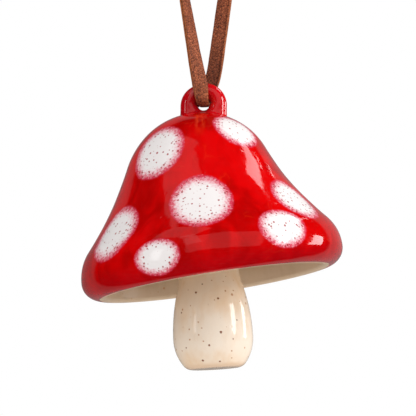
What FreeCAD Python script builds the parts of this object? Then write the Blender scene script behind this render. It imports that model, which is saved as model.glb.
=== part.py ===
"""Hand-built ceramic mushroom ornament on a flat leather lace, in its hanging pose.

Millimetres, +Z up, +X to the viewer's right, the viewer looks along +Y.
The origin is the inside top of the lace's loop, where a peg or a hook bears.
Below it hang the lace, the bight of lace in the ring, and the mushroom, whose axis leans to the left.
"""
import FreeCAD, Part
import math
import os

import Sketcher

Vector = FreeCAD.Vector

SIZES = (
    ("hang_tilt_angle", 8.8, "lean of the cap's axis to the left in the hanging pose, degrees"),
    ("cap_radius", 34.0, "widest radius of the glazed cap"),
    ("cap_height", 44.15, "crown above the lowest line of the lip"),
    ("dome_radius", 19.8, "round top of the cap"),
    ("flare_radius", 80.8, "hollow curve between the dome and the shoulder"),
    ("shoulder_radius", 11.5, "round above the widest line"),
    ("lip_radius", 4.65, "round below the widest line"),
    ("lip_inner_radius", 1.2, "round on the inner edge of the lip"),
    ("cap_wall", 4.0, "clay wall of the cap"),
    ("glaze_thickness", 0.35, "red and white glaze on the cap"),
    ("spot_reach_in", 6.0, "depth below a spot's centre that its curved edge reaches"),
    ("spot_reach_out", 2.0, "height above a spot's centre that its cutter starts at"),
    ("stem_offset", 1.74, "stem axis left of the cap axis at the lip's lowest line"),
    ("stem_lean_angle", 5.3, "lean of the stem axis to the cap axis, degrees"),
    ("stem_belly_radius", 10.2, "widest radius of the stem"),
    ("stem_belly_drop", 13.9, "widest line of the stem below the lip"),
    ("stem_lower_curve", 11.2, "curve from the belly to the foot"),
    ("stem_upper_curve", 47.0, "curve from the belly to the neck"),
    ("stem_curve_top", -1.05, "height where the upper curve turns over into the neck"),
    ("stem_neck_curve", 27.3, "hollow curve into the straight neck"),
    ("stem_wall", 2.8, "clay wall of the stem"),
    ("foot_drop", 21.7, "flat foot below the lip, along the stem"),
    ("foot_thickness", 3.5, "clay floor of the stem"),
    ("foot_edge_radius", 2.6, "round on the edge of the foot"),
    ("vent_diameter", 2.0, "firing vent of the closed stem, hidden under the cap"),
    ("vent_height", 24.0, "firing vent above the lip"),
    ("stem_coil_radius", 1.7, "luting coil round the stem's top end"),
    ("ring_tube_radius", 1.95, "clay roll of the hanging ring"),
    ("ring_arch_radius", 4.05, "centre line of the ring's arch"),
    ("ring_rise", 5.66, "middle of the arch's top above the crown"),
    ("ring_offset", 0.35, "ring right of the highest point of the tilted cap"),
    ("ring_root", 2.2, "length of the ring's legs below the crown's height"),
    ("ring_coil_half_length", 7.4, "luting clay round the ring, along the ring"),
    ("ring_coil_half_width", 4.6, "luting clay round the ring, across it"),
    ("ring_coil_half_depth", 2.0, "luting clay round the ring, upright half axis"),
    ("ring_coil_rise", 0.4, "top of the luting clay above the crown"),
    ("lace_width", 4.0, "flat leather lace"),
    ("lace_thickness", 1.2, "flat leather lace"),
    ("lace_waist", 3.0, "lace where the ring's hole pinches it"),
    ("bight_clearance", 0.17, "least gap between the ring and the bight"),
    ("bight_waist_level", -1.2, "pinched width ends, above the ring's middle line"),
    ("front_shoulder_level", 1.0, "front run reaches its full width"),
    ("back_shoulder_level", 2.0, "back run reaches its full width"),
    ("front_spread", 1.72, "front run left of the pivot at the flex line"),
    ("back_spread", 2.74, "back run right of the pivot at the flex line"),
    ("flex_radius", 5.6, "distance from the pivot where the lace bends sideways"),
    ("flex_gap", 0.15, "gap left at the flex line"),
    ("pivot_drop", 47.1, "ring's middle line below the inside top of the loop"),
    ("loop_inner_radius", 7.0, "inside of the loop where it goes over a peg"),
    ("knot_half_width", 4.4, "overhand knot, along the loop"),
    ("knot_half_depth", 3.4, "overhand knot, front to back"),
    ("knot_half_height", 3.6, "overhand knot, upright"),
    ("tail_curve", 7.0, "inside curve of the two tails"),
    ("tail_start", 1.0, "tails beside the knot's middle"),
    ("tail_sweep_angle", 100.0, "arc of the two tails, degrees"),
    ("overrun", 2.0, "how far cutters pass the faces that they cut"),
)

# Azimuth from the front (right is positive, degrees), height as a share of the cap's height,
# half width and half height as shares of the cap's radius.
# The first seven show from the front, and the rest carry on round the back.
SPOT_shares = (
    (-35.0, 0.768, 0.218, 0.237),
    (46.0, 0.836, 0.191, 0.184),
    (-1.4, 0.408, 0.234, 0.249),
    (55.0, 0.366, 0.207, 0.213),
    (34.0, 0.200, 0.207, 0.158),
    (-52.8, 0.330, 0.238, 0.237),
    (-23.8, 0.133, 0.182, 0.130),
    (118.0, 0.746, 0.200, 0.212),
    (107.0, 0.253, 0.194, 0.165),
    (146.0, 0.444, 0.229, 0.235),
    (180.0, 0.815, 0.203, 0.209),
    (-168.0, 0.278, 0.223, 0.196),
    (-122.0, 0.707, 0.206, 0.218),
    (-134.0, 0.326, 0.218, 0.206),
    (-104.0, 0.139, 0.176, 0.130),
    (140.0, 0.136, 0.182, 0.130),
)

# Share of the cap's clay wall that lies above the stem's top end at the crown. It is large, so that
# the edge of the leaning stem stays inside the wall.
STEM_TOP_share = 0.85

# Share of the strand from the ring to the loop's turn, and share of its quarter twist there.
FRONT_TWIST_shares = ((0.0, 0.0), (0.15, 0.18), (0.52, 0.42), (0.8, 0.75), (1.0, 1.0))
BACK_TWIST_shares = ((0.0, 0.0), (0.5, 0.05), (0.7, 0.35), (0.86, 0.7), (1.0, 1.0))

doc = FreeCAD.newDocument("MushroomOrnament")
sheet = doc.addObject("Spreadsheet::Sheet", "Sizes")
for row, (alias, value, note) in enumerate(SIZES, start=1):
    sheet.set("A%d" % row, alias)
    sheet.set("B%d" % row, str(value))
    sheet.set("C%d" % row, note)
    sheet.setAlias("B%d" % row, alias)
doc.recompute()


def size(alias):
    """The value of one cell of the sheet."""
    return float(sheet.get(alias))


def bind(thing, prop, formula):
    """Tie a property to the sheet, with bare aliases in the formula."""
    thing.setExpression(prop, formula)


def primitive(kind, name, **formulas):
    """A Part primitive whose sizes follow the sheet."""
    thing = doc.addObject("Part::" + kind, name)
    for prop, formula in formulas.items():
        bind(thing, prop, formula)
    return thing


def cut(name, base, *tools):
    """Base without its tools."""
    result = base
    for number, tool in enumerate(tools, start=1):
        step = doc.addObject("Part::Cut", name if number == len(tools) else "%s_cut_%d" % (name, number))
        step.Base = result
        step.Tool = tool
        result = step
    return result


def fuse(name, *shapes):
    """One solid of several."""
    result = doc.addObject("Part::MultiFuse", name)
    result.Shapes = list(shapes)
    result.Refine = True
    return result


def common(name, *shapes):
    """What several solids share."""
    result = doc.addObject("Part::MultiCommon", name)
    result.Shapes = list(shapes)
    return result


def feature(name, shape):
    """A solid that the primitives can't give, worked out from the sheet."""
    result = doc.addObject("Part::Feature", name)
    result.Shape = shape
    return result


def plane_of(body, role):
    """One of a body's own origin planes."""
    return next(item for item in body.Origin.OriginFeatures if item.Role == role)


def new_sketch(body, name, role):
    """A sketch on one of the body's own origin planes."""
    sketch = body.newObject("Sketcher::SketchObject", name)
    sketch.AttachmentSupport = [(plane_of(body, role), "")]
    sketch.MapMode = "FlatFace"
    return sketch


def arc(centre, begin, end, clockwise):
    """An arc of a circle, and which of its ends the outline enters and leaves by."""
    radius = (begin - centre).Length
    first, last = (math.atan2(p.y - centre.y, p.x - centre.x) for p in (begin, end))
    if clockwise:
        first, last = last, first
    if last <= first:
        last += 2 * math.pi
    circle = Part.Circle(centre, Vector(0, 0, 1), radius)
    return Part.ArcOfCircle(circle, first, last), (2, 1) if clockwise else (1, 2)


def draw(sketch, start, moves):
    """A closed outline of lines (end) and arcs (end, centre, clockwise), its ends joined."""
    here = start
    ends = []
    for move in moves:
        if len(move) == 1:
            piece, sides = Part.LineSegment(here, move[0]), (1, 2)
        else:
            piece, sides = arc(move[1], here, move[0], move[2])
        ends.append((sketch.addGeometry(piece, False), sides))
        here = move[0]
    for (one, one_sides), (two, two_sides) in zip(ends, ends[1:] + ends[:1]):
        sketch.addConstraint(Sketcher.Constraint("Coincident", one, one_sides[1], two, two_sides[0]))
    return [index for index, _ in ends]


def measure(sketch, kind, places, formula, value):
    """A dimension of the outline that follows the sheet."""
    number = sketch.addConstraint(Sketcher.Constraint(kind, *places, value))
    bind(sketch, "Constraints[%d]" % number, formula)


def revolve(body, name, sketch, kind="PartDesign::Revolution"):
    """A full turn of a sketch about its upright axis."""
    turn = body.newObject(kind, name)
    turn.Profile = sketch
    turn.ReferenceAxis = (sketch, ["V_Axis"])
    turn.Angle = 360
    return turn


def along(length, degrees):
    """A vector in the XZ plane, its angle taken from +X towards +Z."""
    return Vector(length * math.cos(math.radians(degrees)), 0, length * math.sin(math.radians(degrees)))


# Places of the main frames
PIVOT = Vector(0, 0, -size("pivot_drop"))
DOME_HEIGHT = size("cap_height") - size("dome_radius")
DOME_CENTRE = PIVOT - Vector(size("ring_offset"), 0, size("ring_rise") + size("dome_radius"))
CAP_TURN = FreeCAD.Rotation(Vector(0, 1, 0), -size("hang_tilt_angle"))
CAP_PLACE = FreeCAD.Placement(DOME_CENTRE - CAP_TURN.multVec(Vector(0, 0, DOME_HEIGHT)), CAP_TURN)
STEM_LOCAL = FreeCAD.Placement(Vector(-size("stem_offset"), 0, 0),
                               FreeCAD.Rotation(Vector(0, 1, 0), size("stem_lean_angle")))
STEM_PLACE = CAP_PLACE.multiply(STEM_LOCAL)
ARCH_CENTRE = PIVOT - Vector(0, 0, size("ring_arch_radius"))
UPRIGHT = FreeCAD.Rotation(Vector(1, 0, 0), 90)


class CapOutline:
    """The cap's profile: dome, hollow flare, shoulder and lip, a given depth inside the glaze."""

    def __init__(self, depth):
        dome, flare = size("dome_radius"), size("flare_radius")
        shoulder, lip = size("shoulder_radius"), size("lip_radius")
        self.dome_centre = Vector(0, DOME_HEIGHT, 0)
        self.shoulder_centre = Vector(size("cap_radius") - shoulder, lip, 0)
        self.lip_centre = Vector(size("cap_radius") - lip, lip, 0)
        near, far = dome + flare, shoulder + flare
        gap = self.shoulder_centre - self.dome_centre
        reach = (near ** 2 - far ** 2 + gap.Length ** 2) / (2 * gap.Length)
        step = Vector(gap).normalize()
        side = Vector(-step.y, step.x, 0)
        self.flare_centre = self.dome_centre + step * reach + side * math.sqrt(near ** 2 - reach ** 2)
        self.radii = (dome - depth, flare + depth, shoulder - depth, lip - depth)
        outward = Vector(self.flare_centre - self.dome_centre).normalize()
        self.top = self.dome_centre + Vector(0, self.radii[0], 0)
        self.dome_end = self.dome_centre + outward * self.radii[0]
        outward = Vector(self.flare_centre - self.shoulder_centre).normalize()
        self.flare_end = self.shoulder_centre + outward * self.radii[2]
        self.widest = self.shoulder_centre + Vector(self.radii[2], 0, 0)
        self.lowest = self.lip_centre - Vector(0, self.radii[3], 0)

    def down(self):
        """The four arcs from the crown to the lip's lowest line."""
        return [(self.dome_end, self.dome_centre, True), (self.flare_end, self.flare_centre, False),
                (self.widest, self.shoulder_centre, True), (self.lowest, self.lip_centre, True)]

    def up(self):
        """The same arcs from the lip's lowest line to the crown."""
        return [(self.widest, self.lip_centre, False), (self.flare_end, self.shoulder_centre, False),
                (self.dome_end, self.flare_centre, True), (self.top, self.dome_centre, False)]

    def surface(self, height):
        """Radius at a height, and the outward direction there in the profile's plane."""
        if height >= self.dome_end.y:
            centre, radius, sign = self.dome_centre, self.radii[0], 1
        elif height >= self.flare_end.y:
            centre, radius, sign = self.flare_centre, self.radii[1], -1
        elif height >= self.widest.y:
            centre, radius, sign = self.shoulder_centre, self.radii[2], 1
        else:
            centre, radius, sign = self.lip_centre, self.radii[3], 1
        reach = centre.x + sign * math.sqrt(radius ** 2 - (height - centre.y) ** 2)
        outward = (Vector(reach, height, 0) - centre) * sign
        return reach, outward.normalize()


def bind_arcs(sketch, arcs, formulas):
    """The radius of each arc follows the sheet, and neighbours stay tangent."""
    for index, formula in zip(arcs, formulas):
        measure(sketch, "Radius", (index,), formula, sketch.Geometry[index].Radius)


GLAZED = CapOutline(0)
CLAY = CapOutline(size("glaze_thickness"))
INNER = CapOutline(size("glaze_thickness") + size("cap_wall"))


def cap_radii(depth):
    """Formulas of the cap's four radii at a depth inside the glaze."""
    return ["Sizes.dome_radius - (%s)" % depth, "Sizes.flare_radius + (%s)" % depth,
            "Sizes.shoulder_radius - (%s)" % depth, "Sizes.lip_radius - (%s)" % depth]


def make_cap_body():
    """The clay bell: a turned form with a hollow, a round lip and a bare ceiling for the stem."""
    body = doc.addObject("PartDesign::Body", "cap_body")
    body.Placement = CAP_PLACE
    outside = new_sketch(body, "cap_outside", "XZ_Plane")
    floor = Vector(0, CLAY.lowest.y, 0)
    pieces = draw(outside, CLAY.top, CLAY.down() + [(floor,), (CLAY.top,)])
    bind_arcs(outside, pieces[:4], cap_radii("Sizes.glaze_thickness"))
    revolve(body, "cap_form", outside)

    inside = new_sketch(body, "cap_inside", "XZ_Plane")
    edge = size("lip_inner_radius")
    edge_centre = Vector(CLAY.lowest.x, CLAY.lowest.y + edge, 0)
    mouth = edge_centre - Vector(edge, 0, 0)
    below = Vector(CLAY.lowest.x, CLAY.lowest.y - size("overrun"), 0)
    throat = INNER.surface(size("lip_radius"))[0]
    waist = Vector(throat, size("shoulder_radius"), 0)
    waist.x = INNER.surface(waist.y)[0]
    moves = [(INNER.dome_end, INNER.dome_centre, True), (waist, INNER.flare_centre, False),
             (mouth,), (CLAY.lowest, edge_centre, False), (below,), (Vector(0, below.y, 0),), (INNER.top,)]
    pieces = draw(inside, INNER.top, moves)
    depth = "Sizes.glaze_thickness + Sizes.cap_wall"
    bind_arcs(inside, pieces[:2], cap_radii(depth)[:2])
    measure(inside, "Radius", (pieces[3],), "Sizes.lip_inner_radius", edge)
    revolve(body, "cap_hollow", inside, "PartDesign::Groove")
    return body


def make_glaze_skin():
    """The whole coat of glaze outside the cap, from the crown to the lip's lowest line."""
    body = doc.addObject("PartDesign::Body", "glaze_skin")
    body.Placement = CAP_PLACE
    section = new_sketch(body, "glaze_section", "XZ_Plane")
    moves = GLAZED.down() + [(CLAY.lowest,)] + CLAY.up() + [(GLAZED.top,)]
    pieces = draw(section, GLAZED.top, moves)
    bind_arcs(section, pieces[:4], cap_radii("0"))
    bind_arcs(section, pieces[5:9], reversed(cap_radii("Sizes.glaze_thickness")))
    revolve(body, "glaze_coat", section)
    return body


def make_spot_cutters():
    """One elliptic cutter for each spot, square to the cap's surface."""
    cutters = []
    for number, (azimuth, height_share, width_share, rise_share) in enumerate(SPOT_shares, start=1):
        height = height_share * size("cap_height")
        reach, slope = GLAZED.surface(height)
        turn = math.radians(azimuth)
        out = Vector(math.sin(turn), -math.cos(turn), 0)
        across = Vector(math.cos(turn), math.sin(turn), 0)
        normal = out * slope.x + Vector(0, 0, slope.y)
        uphill = normal.cross(across)
        wide = width_share >= rise_share
        major, minor = (across, uphill) if wide else (uphill, across * -1)
        ellipse = doc.addObject("Part::Ellipse", "spot_edge_%02d" % number)
        bind(ellipse, "MajorRadius", "Sizes.cap_radius * %g" % max(width_share, rise_share))
        bind(ellipse, "MinorRadius", "Sizes.cap_radius * %g" % min(width_share, rise_share))
        local = FreeCAD.Placement(out * reach + Vector(0, 0, height),
                                  FreeCAD.Rotation(major, minor, normal, "ZXY"))
        ellipse.Placement = CAP_PLACE.multiply(local)
        cutter = doc.addObject("Part::Extrusion", "spot_cutter_%02d" % number)
        cutter.Base = ellipse
        cutter.DirMode = "Normal"
        cutter.Solid = True
        bind(cutter, "LengthFwd", "Sizes.spot_reach_out")
        bind(cutter, "LengthRev", "Sizes.spot_reach_in")
        cutters.append(cutter)
    return cutters


def make_ring():
    """A clay roll bent into an arch with two short legs."""
    arch = primitive("Torus", "ring_arch", Radius1="Sizes.ring_arch_radius", Radius2="Sizes.ring_tube_radius")
    arch.Angle3 = 180
    arch.Placement = FreeCAD.Placement(ARCH_CENTRE, UPRIGHT)
    legs = []
    for side, name in ((-1, "ring_left_leg"), (1, "ring_right_leg")):
        leg = primitive("Cylinder", name, Radius="Sizes.ring_tube_radius",
                        Height="Sizes.ring_rise - Sizes.ring_arch_radius + Sizes.ring_root")
        foot = PIVOT - Vector(0, 0, size("ring_rise") + size("ring_root"))
        leg.Placement.Base = foot + Vector(side * size("ring_arch_radius"), 0, 0)
        legs.append(leg)
    return fuse("ring_roll", arch, *legs)


def make_ring_coil():
    """Soft clay pressed round the ring's legs and into the foot of its hole."""
    coil = primitive("Ellipsoid", "ring_coil_clay", Radius1="Sizes.ring_coil_half_depth",
                     Radius2="Sizes.ring_coil_half_length", Radius3="Sizes.ring_coil_half_width")
    middle = size("ring_rise") - size("ring_coil_rise") + size("ring_coil_half_depth")
    coil.Placement.Base = PIVOT - Vector(0, 0, middle)
    return coil


class StemOutline:
    """The stem's profile about its own axis, a given depth inside its surface."""

    def __init__(self, depth):
        belly, level = size("stem_belly_radius"), -size("stem_belly_drop")
        lower, upper = size("stem_lower_curve") - depth, size("stem_upper_curve") - depth
        neck_curve = size("stem_neck_curve") + depth
        self.lower_centre = Vector(belly - size("stem_lower_curve"), level, 0)
        self.upper_centre = Vector(belly - size("stem_upper_curve"), level, 0)
        self.belly = Vector(belly - depth, level, 0)
        self.base = -size("foot_drop") - size("overrun")
        rise = size("stem_curve_top") - level
        outward = Vector(math.sqrt(size("stem_upper_curve") ** 2 - rise ** 2), rise, 0).normalize()
        self.turn_over = self.upper_centre + outward * upper
        self.neck_centre = self.turn_over + outward * neck_curve
        self.neck = self.neck_centre - Vector(neck_curve, 0, 0)
        self.radii = (lower, upper, neck_curve)
        self.lower = lower


def make_stem():
    """A hollow stem with a closed foot, its top end let into the ceiling of the cap."""
    outline = StemOutline(0)
    top = size("cap_height") - size("glaze_thickness") - STEM_TOP_share * size("cap_wall")
    body = doc.addObject("PartDesign::Body", "stem_form")
    body.Placement = STEM_PLACE
    outside = new_sketch(body, "stem_outside", "XZ_Plane")
    drop = outline.lower_centre.y - outline.base
    base = Vector(outline.lower_centre.x + math.sqrt(outline.lower ** 2 - drop ** 2), outline.base, 0)
    moves = [(outline.belly, outline.lower_centre, False), (outline.turn_over, outline.upper_centre, False),
             (outline.neck, outline.neck_centre, True), (Vector(outline.neck.x, top, 0),),
             (Vector(0, top, 0),), (Vector(0, base.y, 0),), (base,)]
    pieces = draw(outside, base, moves)
    bind_arcs(outside, pieces[:3], ("Sizes.stem_lower_curve", "Sizes.stem_upper_curve",
                                    "Sizes.stem_neck_curve"))
    revolve(body, "stem_solid", outside)

    inner = StemOutline(size("stem_wall"))
    inside = new_sketch(body, "stem_inside", "XZ_Plane")
    floor_level = -size("foot_drop") + size("foot_thickness")
    drop = inner.lower_centre.y - floor_level
    corner = Vector(inner.lower_centre.x + math.sqrt(inner.lower ** 2 - drop ** 2), floor_level, 0)
    above = top + size("overrun")
    moves = [(inner.belly, inner.lower_centre, False), (inner.turn_over, inner.upper_centre, False),
             (inner.neck, inner.neck_centre, True), (Vector(inner.neck.x, above, 0),),
             (Vector(0, above, 0),), (Vector(0, floor_level, 0),), (corner,)]
    pieces = draw(inside, corner, moves)
    bind_arcs(inside, pieces[:3], ("Sizes.stem_lower_curve - Sizes.stem_wall",
                                   "Sizes.stem_upper_curve - Sizes.stem_wall",
                                   "Sizes.stem_neck_curve + Sizes.stem_wall"))
    revolve(body, "stem_hollow", inside, "PartDesign::Groove")

    ground = primitive("Box", "foot_plane", Length="4 * Sizes.stem_belly_radius",
                       Width="4 * Sizes.stem_belly_radius", Height="2 * Sizes.overrun + Sizes.foot_drop")
    half = 2 * size("stem_belly_radius")
    depth = 2 * (size("foot_drop") + size("overrun"))
    below = FreeCAD.Placement(Vector(-half, -half, -depth), FreeCAD.Rotation())
    ground.Placement = STEM_PLACE.multiply(below)
    vent = primitive("Cylinder", "vent_drill", Radius="Sizes.vent_diameter / 2",
                     Height="2 * Sizes.stem_belly_radius")
    vent.Placement = STEM_PLACE.multiply(FreeCAD.Placement(Vector(0, 0, size("vent_height")),
                                                           FreeCAD.Rotation(Vector(1, 0, 0), -90)))
    return body, ground, vent


def round_foot(stem):
    """The sharp edge of the foot, rounded."""
    doc.recompute()
    inverse = STEM_PLACE.inverse()
    level = -size("foot_drop")
    near = size("foot_edge_radius") / 10
    edges = []
    for number, edge in enumerate(stem.Shape.Edges, start=1):
        heights = [inverse.multVec(point).z for point in edge.discretize(8)]
        if max(abs(height - level) for height in heights) < near:
            edges.append((number, size("foot_edge_radius"), size("foot_edge_radius")))
    rounded = doc.addObject("Part::Fillet", "stem")
    rounded.Base = stem
    rounded.Edges = edges
    return rounded


def make_stem_coil():
    """A coil of clay pressed into the corner between the stem and the cap's ceiling."""
    neck = StemOutline(0).neck.x
    level = INNER.dome_centre.y + math.sqrt(INNER.radii[0] ** 2 - neck ** 2)
    coil = doc.addObject("Part::Torus", "stem_coil_clay")
    coil.Radius1 = neck + size("stem_coil_radius") / 2
    bind(coil, "Radius2", "Sizes.stem_coil_radius")
    coil.Placement = STEM_PLACE.multiply(FreeCAD.Placement(Vector(0, 0, level - size("stem_coil_radius") / 3),
                                                           FreeCAD.Rotation()))
    return coil


# The bight's inside clears the ring's roll at the pinched width, at every angle of the swing.
RING_HOLE = size("ring_arch_radius") - size("ring_tube_radius")
BIGHT_INNER = (size("ring_arch_radius") - math.sqrt(RING_HOLE ** 2 - (size("lace_waist") / 2) ** 2)
               + size("bight_clearance"))
BIGHT_OUTER = BIGHT_INNER + size("lace_thickness")
LOOP_CENTRE = Vector(0, 0, -size("loop_inner_radius"))
LOOP_MIDDLE = size("loop_inner_radius") + size("lace_thickness") / 2


class Strand:
    """The straight run of one side of the lace, from the flex line to the turn over the peg."""

    def __init__(self, side, spread):
        self.side = side
        rise = math.sqrt(size("flex_radius") ** 2 - spread ** 2)
        depth = (BIGHT_INNER + BIGHT_OUTER) / 2
        self.start = PIVOT + Vector(side * spread, side * depth, rise)
        gap = LOOP_CENTRE - Vector(self.start.x, 0, self.start.z)
        aim = math.degrees(math.atan2(gap.z, gap.x))
        self.angle = aim - side * math.degrees(math.asin(LOOP_MIDDLE / gap.Length))
        run = math.sqrt(gap.Length ** 2 - LOOP_MIDDLE ** 2)
        self.stop = Vector(self.start.x, 0, self.start.z) + along(run, self.angle)

    def at(self, height):
        """The middle of the run, carried on down to a height above the pivot."""
        slope = (self.stop.x - self.start.x) / (self.stop.z - self.start.z)
        return self.start.x + slope * (PIVOT.z + height - self.start.z)

    def section(self, share, twist_share):
        """The lace's rectangle at one place of the run."""
        middle = self.start + (self.stop - self.start) * share
        run = Vector(self.stop - self.start).normalize()
        across = Vector(1, 0, 0) - run * run.x
        across.normalize()
        away = run.cross(across) * -1
        if twist_share == 1:
            across, away = Vector(1, 0, 0), Vector(0, 1, 0)
            face = along(1, self.angle - 90)
            width = away
        else:
            turn = math.radians(90 * twist_share)
            width = across * math.cos(turn) + away * math.sin(turn)
            face = run.cross(width)
        half_width = width * (size("lace_width") / 2)
        half_thick = face * (size("lace_thickness") / 2)
        corners = [middle + half_width + half_thick, middle - half_width + half_thick,
                   middle - half_width - half_thick, middle + half_width - half_thick]
        if twist_share == 1 and (corners[0] - middle).dot(run.cross(away)) < 0:
            corners = [corners[3], corners[2], corners[1], corners[0]]
        return Part.makePolygon(corners + corners[:1])


FRONT = Strand(-1, size("front_spread"))
BACK = Strand(1, size("back_spread"))


def make_turn(name, centre, inner, first, sweep):
    """A flat arc of lace in the XZ plane, its width front to back, angles taken from +X."""
    outer = primitive("Cylinder", name + "_outside", Height="Sizes.lace_width")
    outer.Radius = inner + size("lace_thickness")
    outer.Angle = sweep
    bore = primitive("Cylinder", name + "_inside", Height="Sizes.lace_width")
    bore.Radius = inner
    for piece in (outer, bore):
        piece.Placement = FreeCAD.Placement(centre + Vector(0, size("lace_width") / 2, 0),
                                            UPRIGHT.multiply(FreeCAD.Rotation(Vector(0, 0, 1), first)))
    return cut(name, outer, bore)


def make_strand(name, strand, twist_shares, knot):
    """One side of the lace: a straight, slowly twisting run and its turn over the peg."""
    below = (-size("overrun") / (strand.stop - strand.start).Length, 0.0)
    sections = [strand.section(share, twist) for share, twist in (below,) + twist_shares[1:]]
    run = feature(name + "_run", Part.makeLoft(sections, True, True))
    start_angle = strand.angle + strand.side * -90
    sweep = strand.side * (90 - start_angle)
    first = 90 if strand.side < 0 else start_angle
    turn = make_turn(name + "_turn", LOOP_CENTRE, size("loop_inner_radius"), first, sweep)
    flex = primitive("Cylinder", name + "_flex", Radius="Sizes.flex_radius + Sizes.flex_gap / 2",
                     Height="4 * Sizes.lace_width")
    flex.Placement = FreeCAD.Placement(PIVOT + Vector(0, 2 * size("lace_width"), 0), UPRIGHT)
    return cut(name, fuse(name + "_lace", run, turn), flex, knot)


def make_bight():
    """The lace through the ring: a U about the ring's roll, pinched to the hole's width."""
    body = doc.addObject("PartDesign::Body", "bight_strip")
    body.Placement.Base = PIVOT
    bend = new_sketch(body, "bight_bend", "YZ_Plane")
    top = size("flex_radius") + size("overrun")
    centre = Vector(0, 0, 0)
    moves = [(Vector(BIGHT_OUTER, 0, 0), centre, False), (Vector(BIGHT_OUTER, top, 0),),
             (Vector(BIGHT_INNER, top, 0),), (Vector(BIGHT_INNER, 0, 0),),
             (Vector(-BIGHT_INNER, 0, 0), centre, True), (Vector(-BIGHT_INNER, top, 0),),
             (Vector(-BIGHT_OUTER, top, 0),), (Vector(-BIGHT_OUTER, 0, 0),)]
    draw(bend, Vector(-BIGHT_OUTER, 0, 0), moves)
    strip = body.newObject("PartDesign::Pad", "bight_width")
    strip.Profile = bend
    strip.Midplane = True
    bind(strip, "Length", "4 * Sizes.lace_width")

    waist, full = size("lace_waist") / 2, size("lace_width") / 2
    deep = BIGHT_OUTER + size("overrun")
    sides = []
    for name, strand, shoulder in (("front_edges", FRONT, "front_shoulder_level"),
                                   ("back_edges", BACK, "back_shoulder_level")):
        outline = doc.addObject("PartDesign::Body", name)
        outline.Placement.Base = PIVOT
        edges = new_sketch(outline, name + "_outline", "XZ_Plane")
        level, neck = size(shoulder), size("bight_waist_level")
        middle, high = strand.at(level), strand.at(top)
        corners = [Vector(waist, -deep, 0), Vector(waist, neck, 0), Vector(middle + full, level, 0),
                   Vector(high + full, top, 0), Vector(high - full, top, 0), Vector(middle - full, level, 0),
                   Vector(-waist, neck, 0), Vector(-waist, -deep, 0)]
        draw(edges, corners[0], [(corner,) for corner in corners[1:] + corners[:1]])
        pad = outline.newObject("PartDesign::Pad", name + "_pad")
        pad.Profile = edges
        pad.Reversed = strand.side > 0
        bind(pad, "Length", "2 * Sizes.lace_width")
        sides.append(outline)
    flex = primitive("Cylinder", "bight_flex", Radius="Sizes.flex_radius - Sizes.flex_gap / 2",
                     Height="4 * Sizes.lace_width")
    flex.Placement = FreeCAD.Placement(PIVOT + Vector(0, 2 * size("lace_width"), 0), UPRIGHT)
    return common("lace_bight", body, fuse("bight_edges", *sides), flex)


def make_knot():
    """The overhand knot of both ends, on the inside top of the loop."""
    knot = primitive("Ellipsoid", "lace_knot", Radius1="Sizes.knot_half_height",
                     Radius2="Sizes.knot_half_width", Radius3="Sizes.knot_half_depth")
    knot.Placement.Base = Vector(0, 0, size("knot_half_height"))
    return knot


def make_tail(name, side, knot):
    """A short end of lace that bends away from the knot."""
    inner = size("tail_curve")
    centre = Vector(side * (size("tail_start") + size("lace_thickness") + inner), 0, size("knot_half_height"))
    first = 180 - size("tail_sweep_angle") if side > 0 else 0
    return cut(name, make_turn(name + "_turn", centre, inner, first, size("tail_sweep_angle")), knot)


cap_body = make_cap_body()
glaze_skin = make_glaze_skin()
cutters = make_spot_cutters()
ring_roll = make_ring()
ring_clay = make_ring_coil()
parts = {"cap_body": cap_body}
parts["hanging_ring"] = cut("hanging_ring", ring_roll, cap_body)
parts["ring_luting_coil"] = cut("ring_luting_coil", ring_clay, ring_roll, cap_body)
for number, cutter in enumerate(cutters, start=1):
    name = "white_spot_%02d" % number
    parts[name] = common(name, glaze_skin, cutter)
windows = fuse("glaze_windows", *cutters)
windows.Refine = False
parts["red_cap_glaze"] = cut("red_cap_glaze", glaze_skin, windows, ring_roll, ring_clay)

stem_form, ground, vent = make_stem()
stem_clay = cut("stem_clay", stem_form, cap_body, ground, vent)
parts["stem"] = round_foot(stem_clay)
parts["stem_luting_coil"] = cut("stem_luting_coil", make_stem_coil(), stem_form, cap_body)

knot = make_knot()
parts["lace_knot"] = knot
parts["lace_front_strand"] = make_strand("lace_front_strand", FRONT, FRONT_TWIST_shares, knot)
parts["lace_back_strand"] = make_strand("lace_back_strand", BACK, BACK_TWIST_shares, knot)
parts["lace_bight"] = make_bight()
parts["lace_front_tail"] = make_tail("lace_front_tail", -1, knot)
parts["lace_back_tail"] = make_tail("lace_back_tail", 1, knot)
doc.recompute()

for thing in doc.Objects:
    if "Invalid" in thing.State or "Error" in thing.State:
        raise RuntimeError("%s failed: %s" % (thing.Label, thing.State))
for name, thing in parts.items():
    thing.Label = name
    shape = thing.Shape
    if shape.isNull() or not shape.isValid() or not shape.Solids:
        raise RuntimeError("%s has no valid solid" % name)

os.makedirs("parts", exist_ok=True)
for name, thing in parts.items():
    thing.Shape.exportStep("parts/%s.step" % name)
    print("%-20s %d solid, %.2f mm3" % (name, len(thing.Shape.Solids), thing.Shape.Volume))

section = size("lace_width") * size("lace_thickness")
for name, strand in (("front", FRONT), ("back", BACK)):
    run = (strand.stop - strand.start).Length
    print("%s strand: straight run %.2f mm, turn radius %.2f mm" % (name, run, LOOP_MIDDLE))
    print("  solid over its section: %.2f mm" % (parts["lace_%s_strand" % name].Shape.Volume / section))
print("bight: middle radius %.2f mm" % ((BIGHT_INNER + BIGHT_OUTER) / 2))
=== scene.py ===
"""Hand-built ceramic mushroom ornament, hung by a flat leather lace.

Everything is in metres, in the packed frame: +Z up, +X to the viewer's right, seen along +Y.
The origin is the inside top of the lace's loop, and the ornament hangs below it.
"""
import math

import bmesh
import bpy
import numpy as np
from bpy.props import FloatProperty, FloatVectorProperty, IntProperty, PointerProperty
from mathutils import Matrix, Vector, noise


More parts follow.
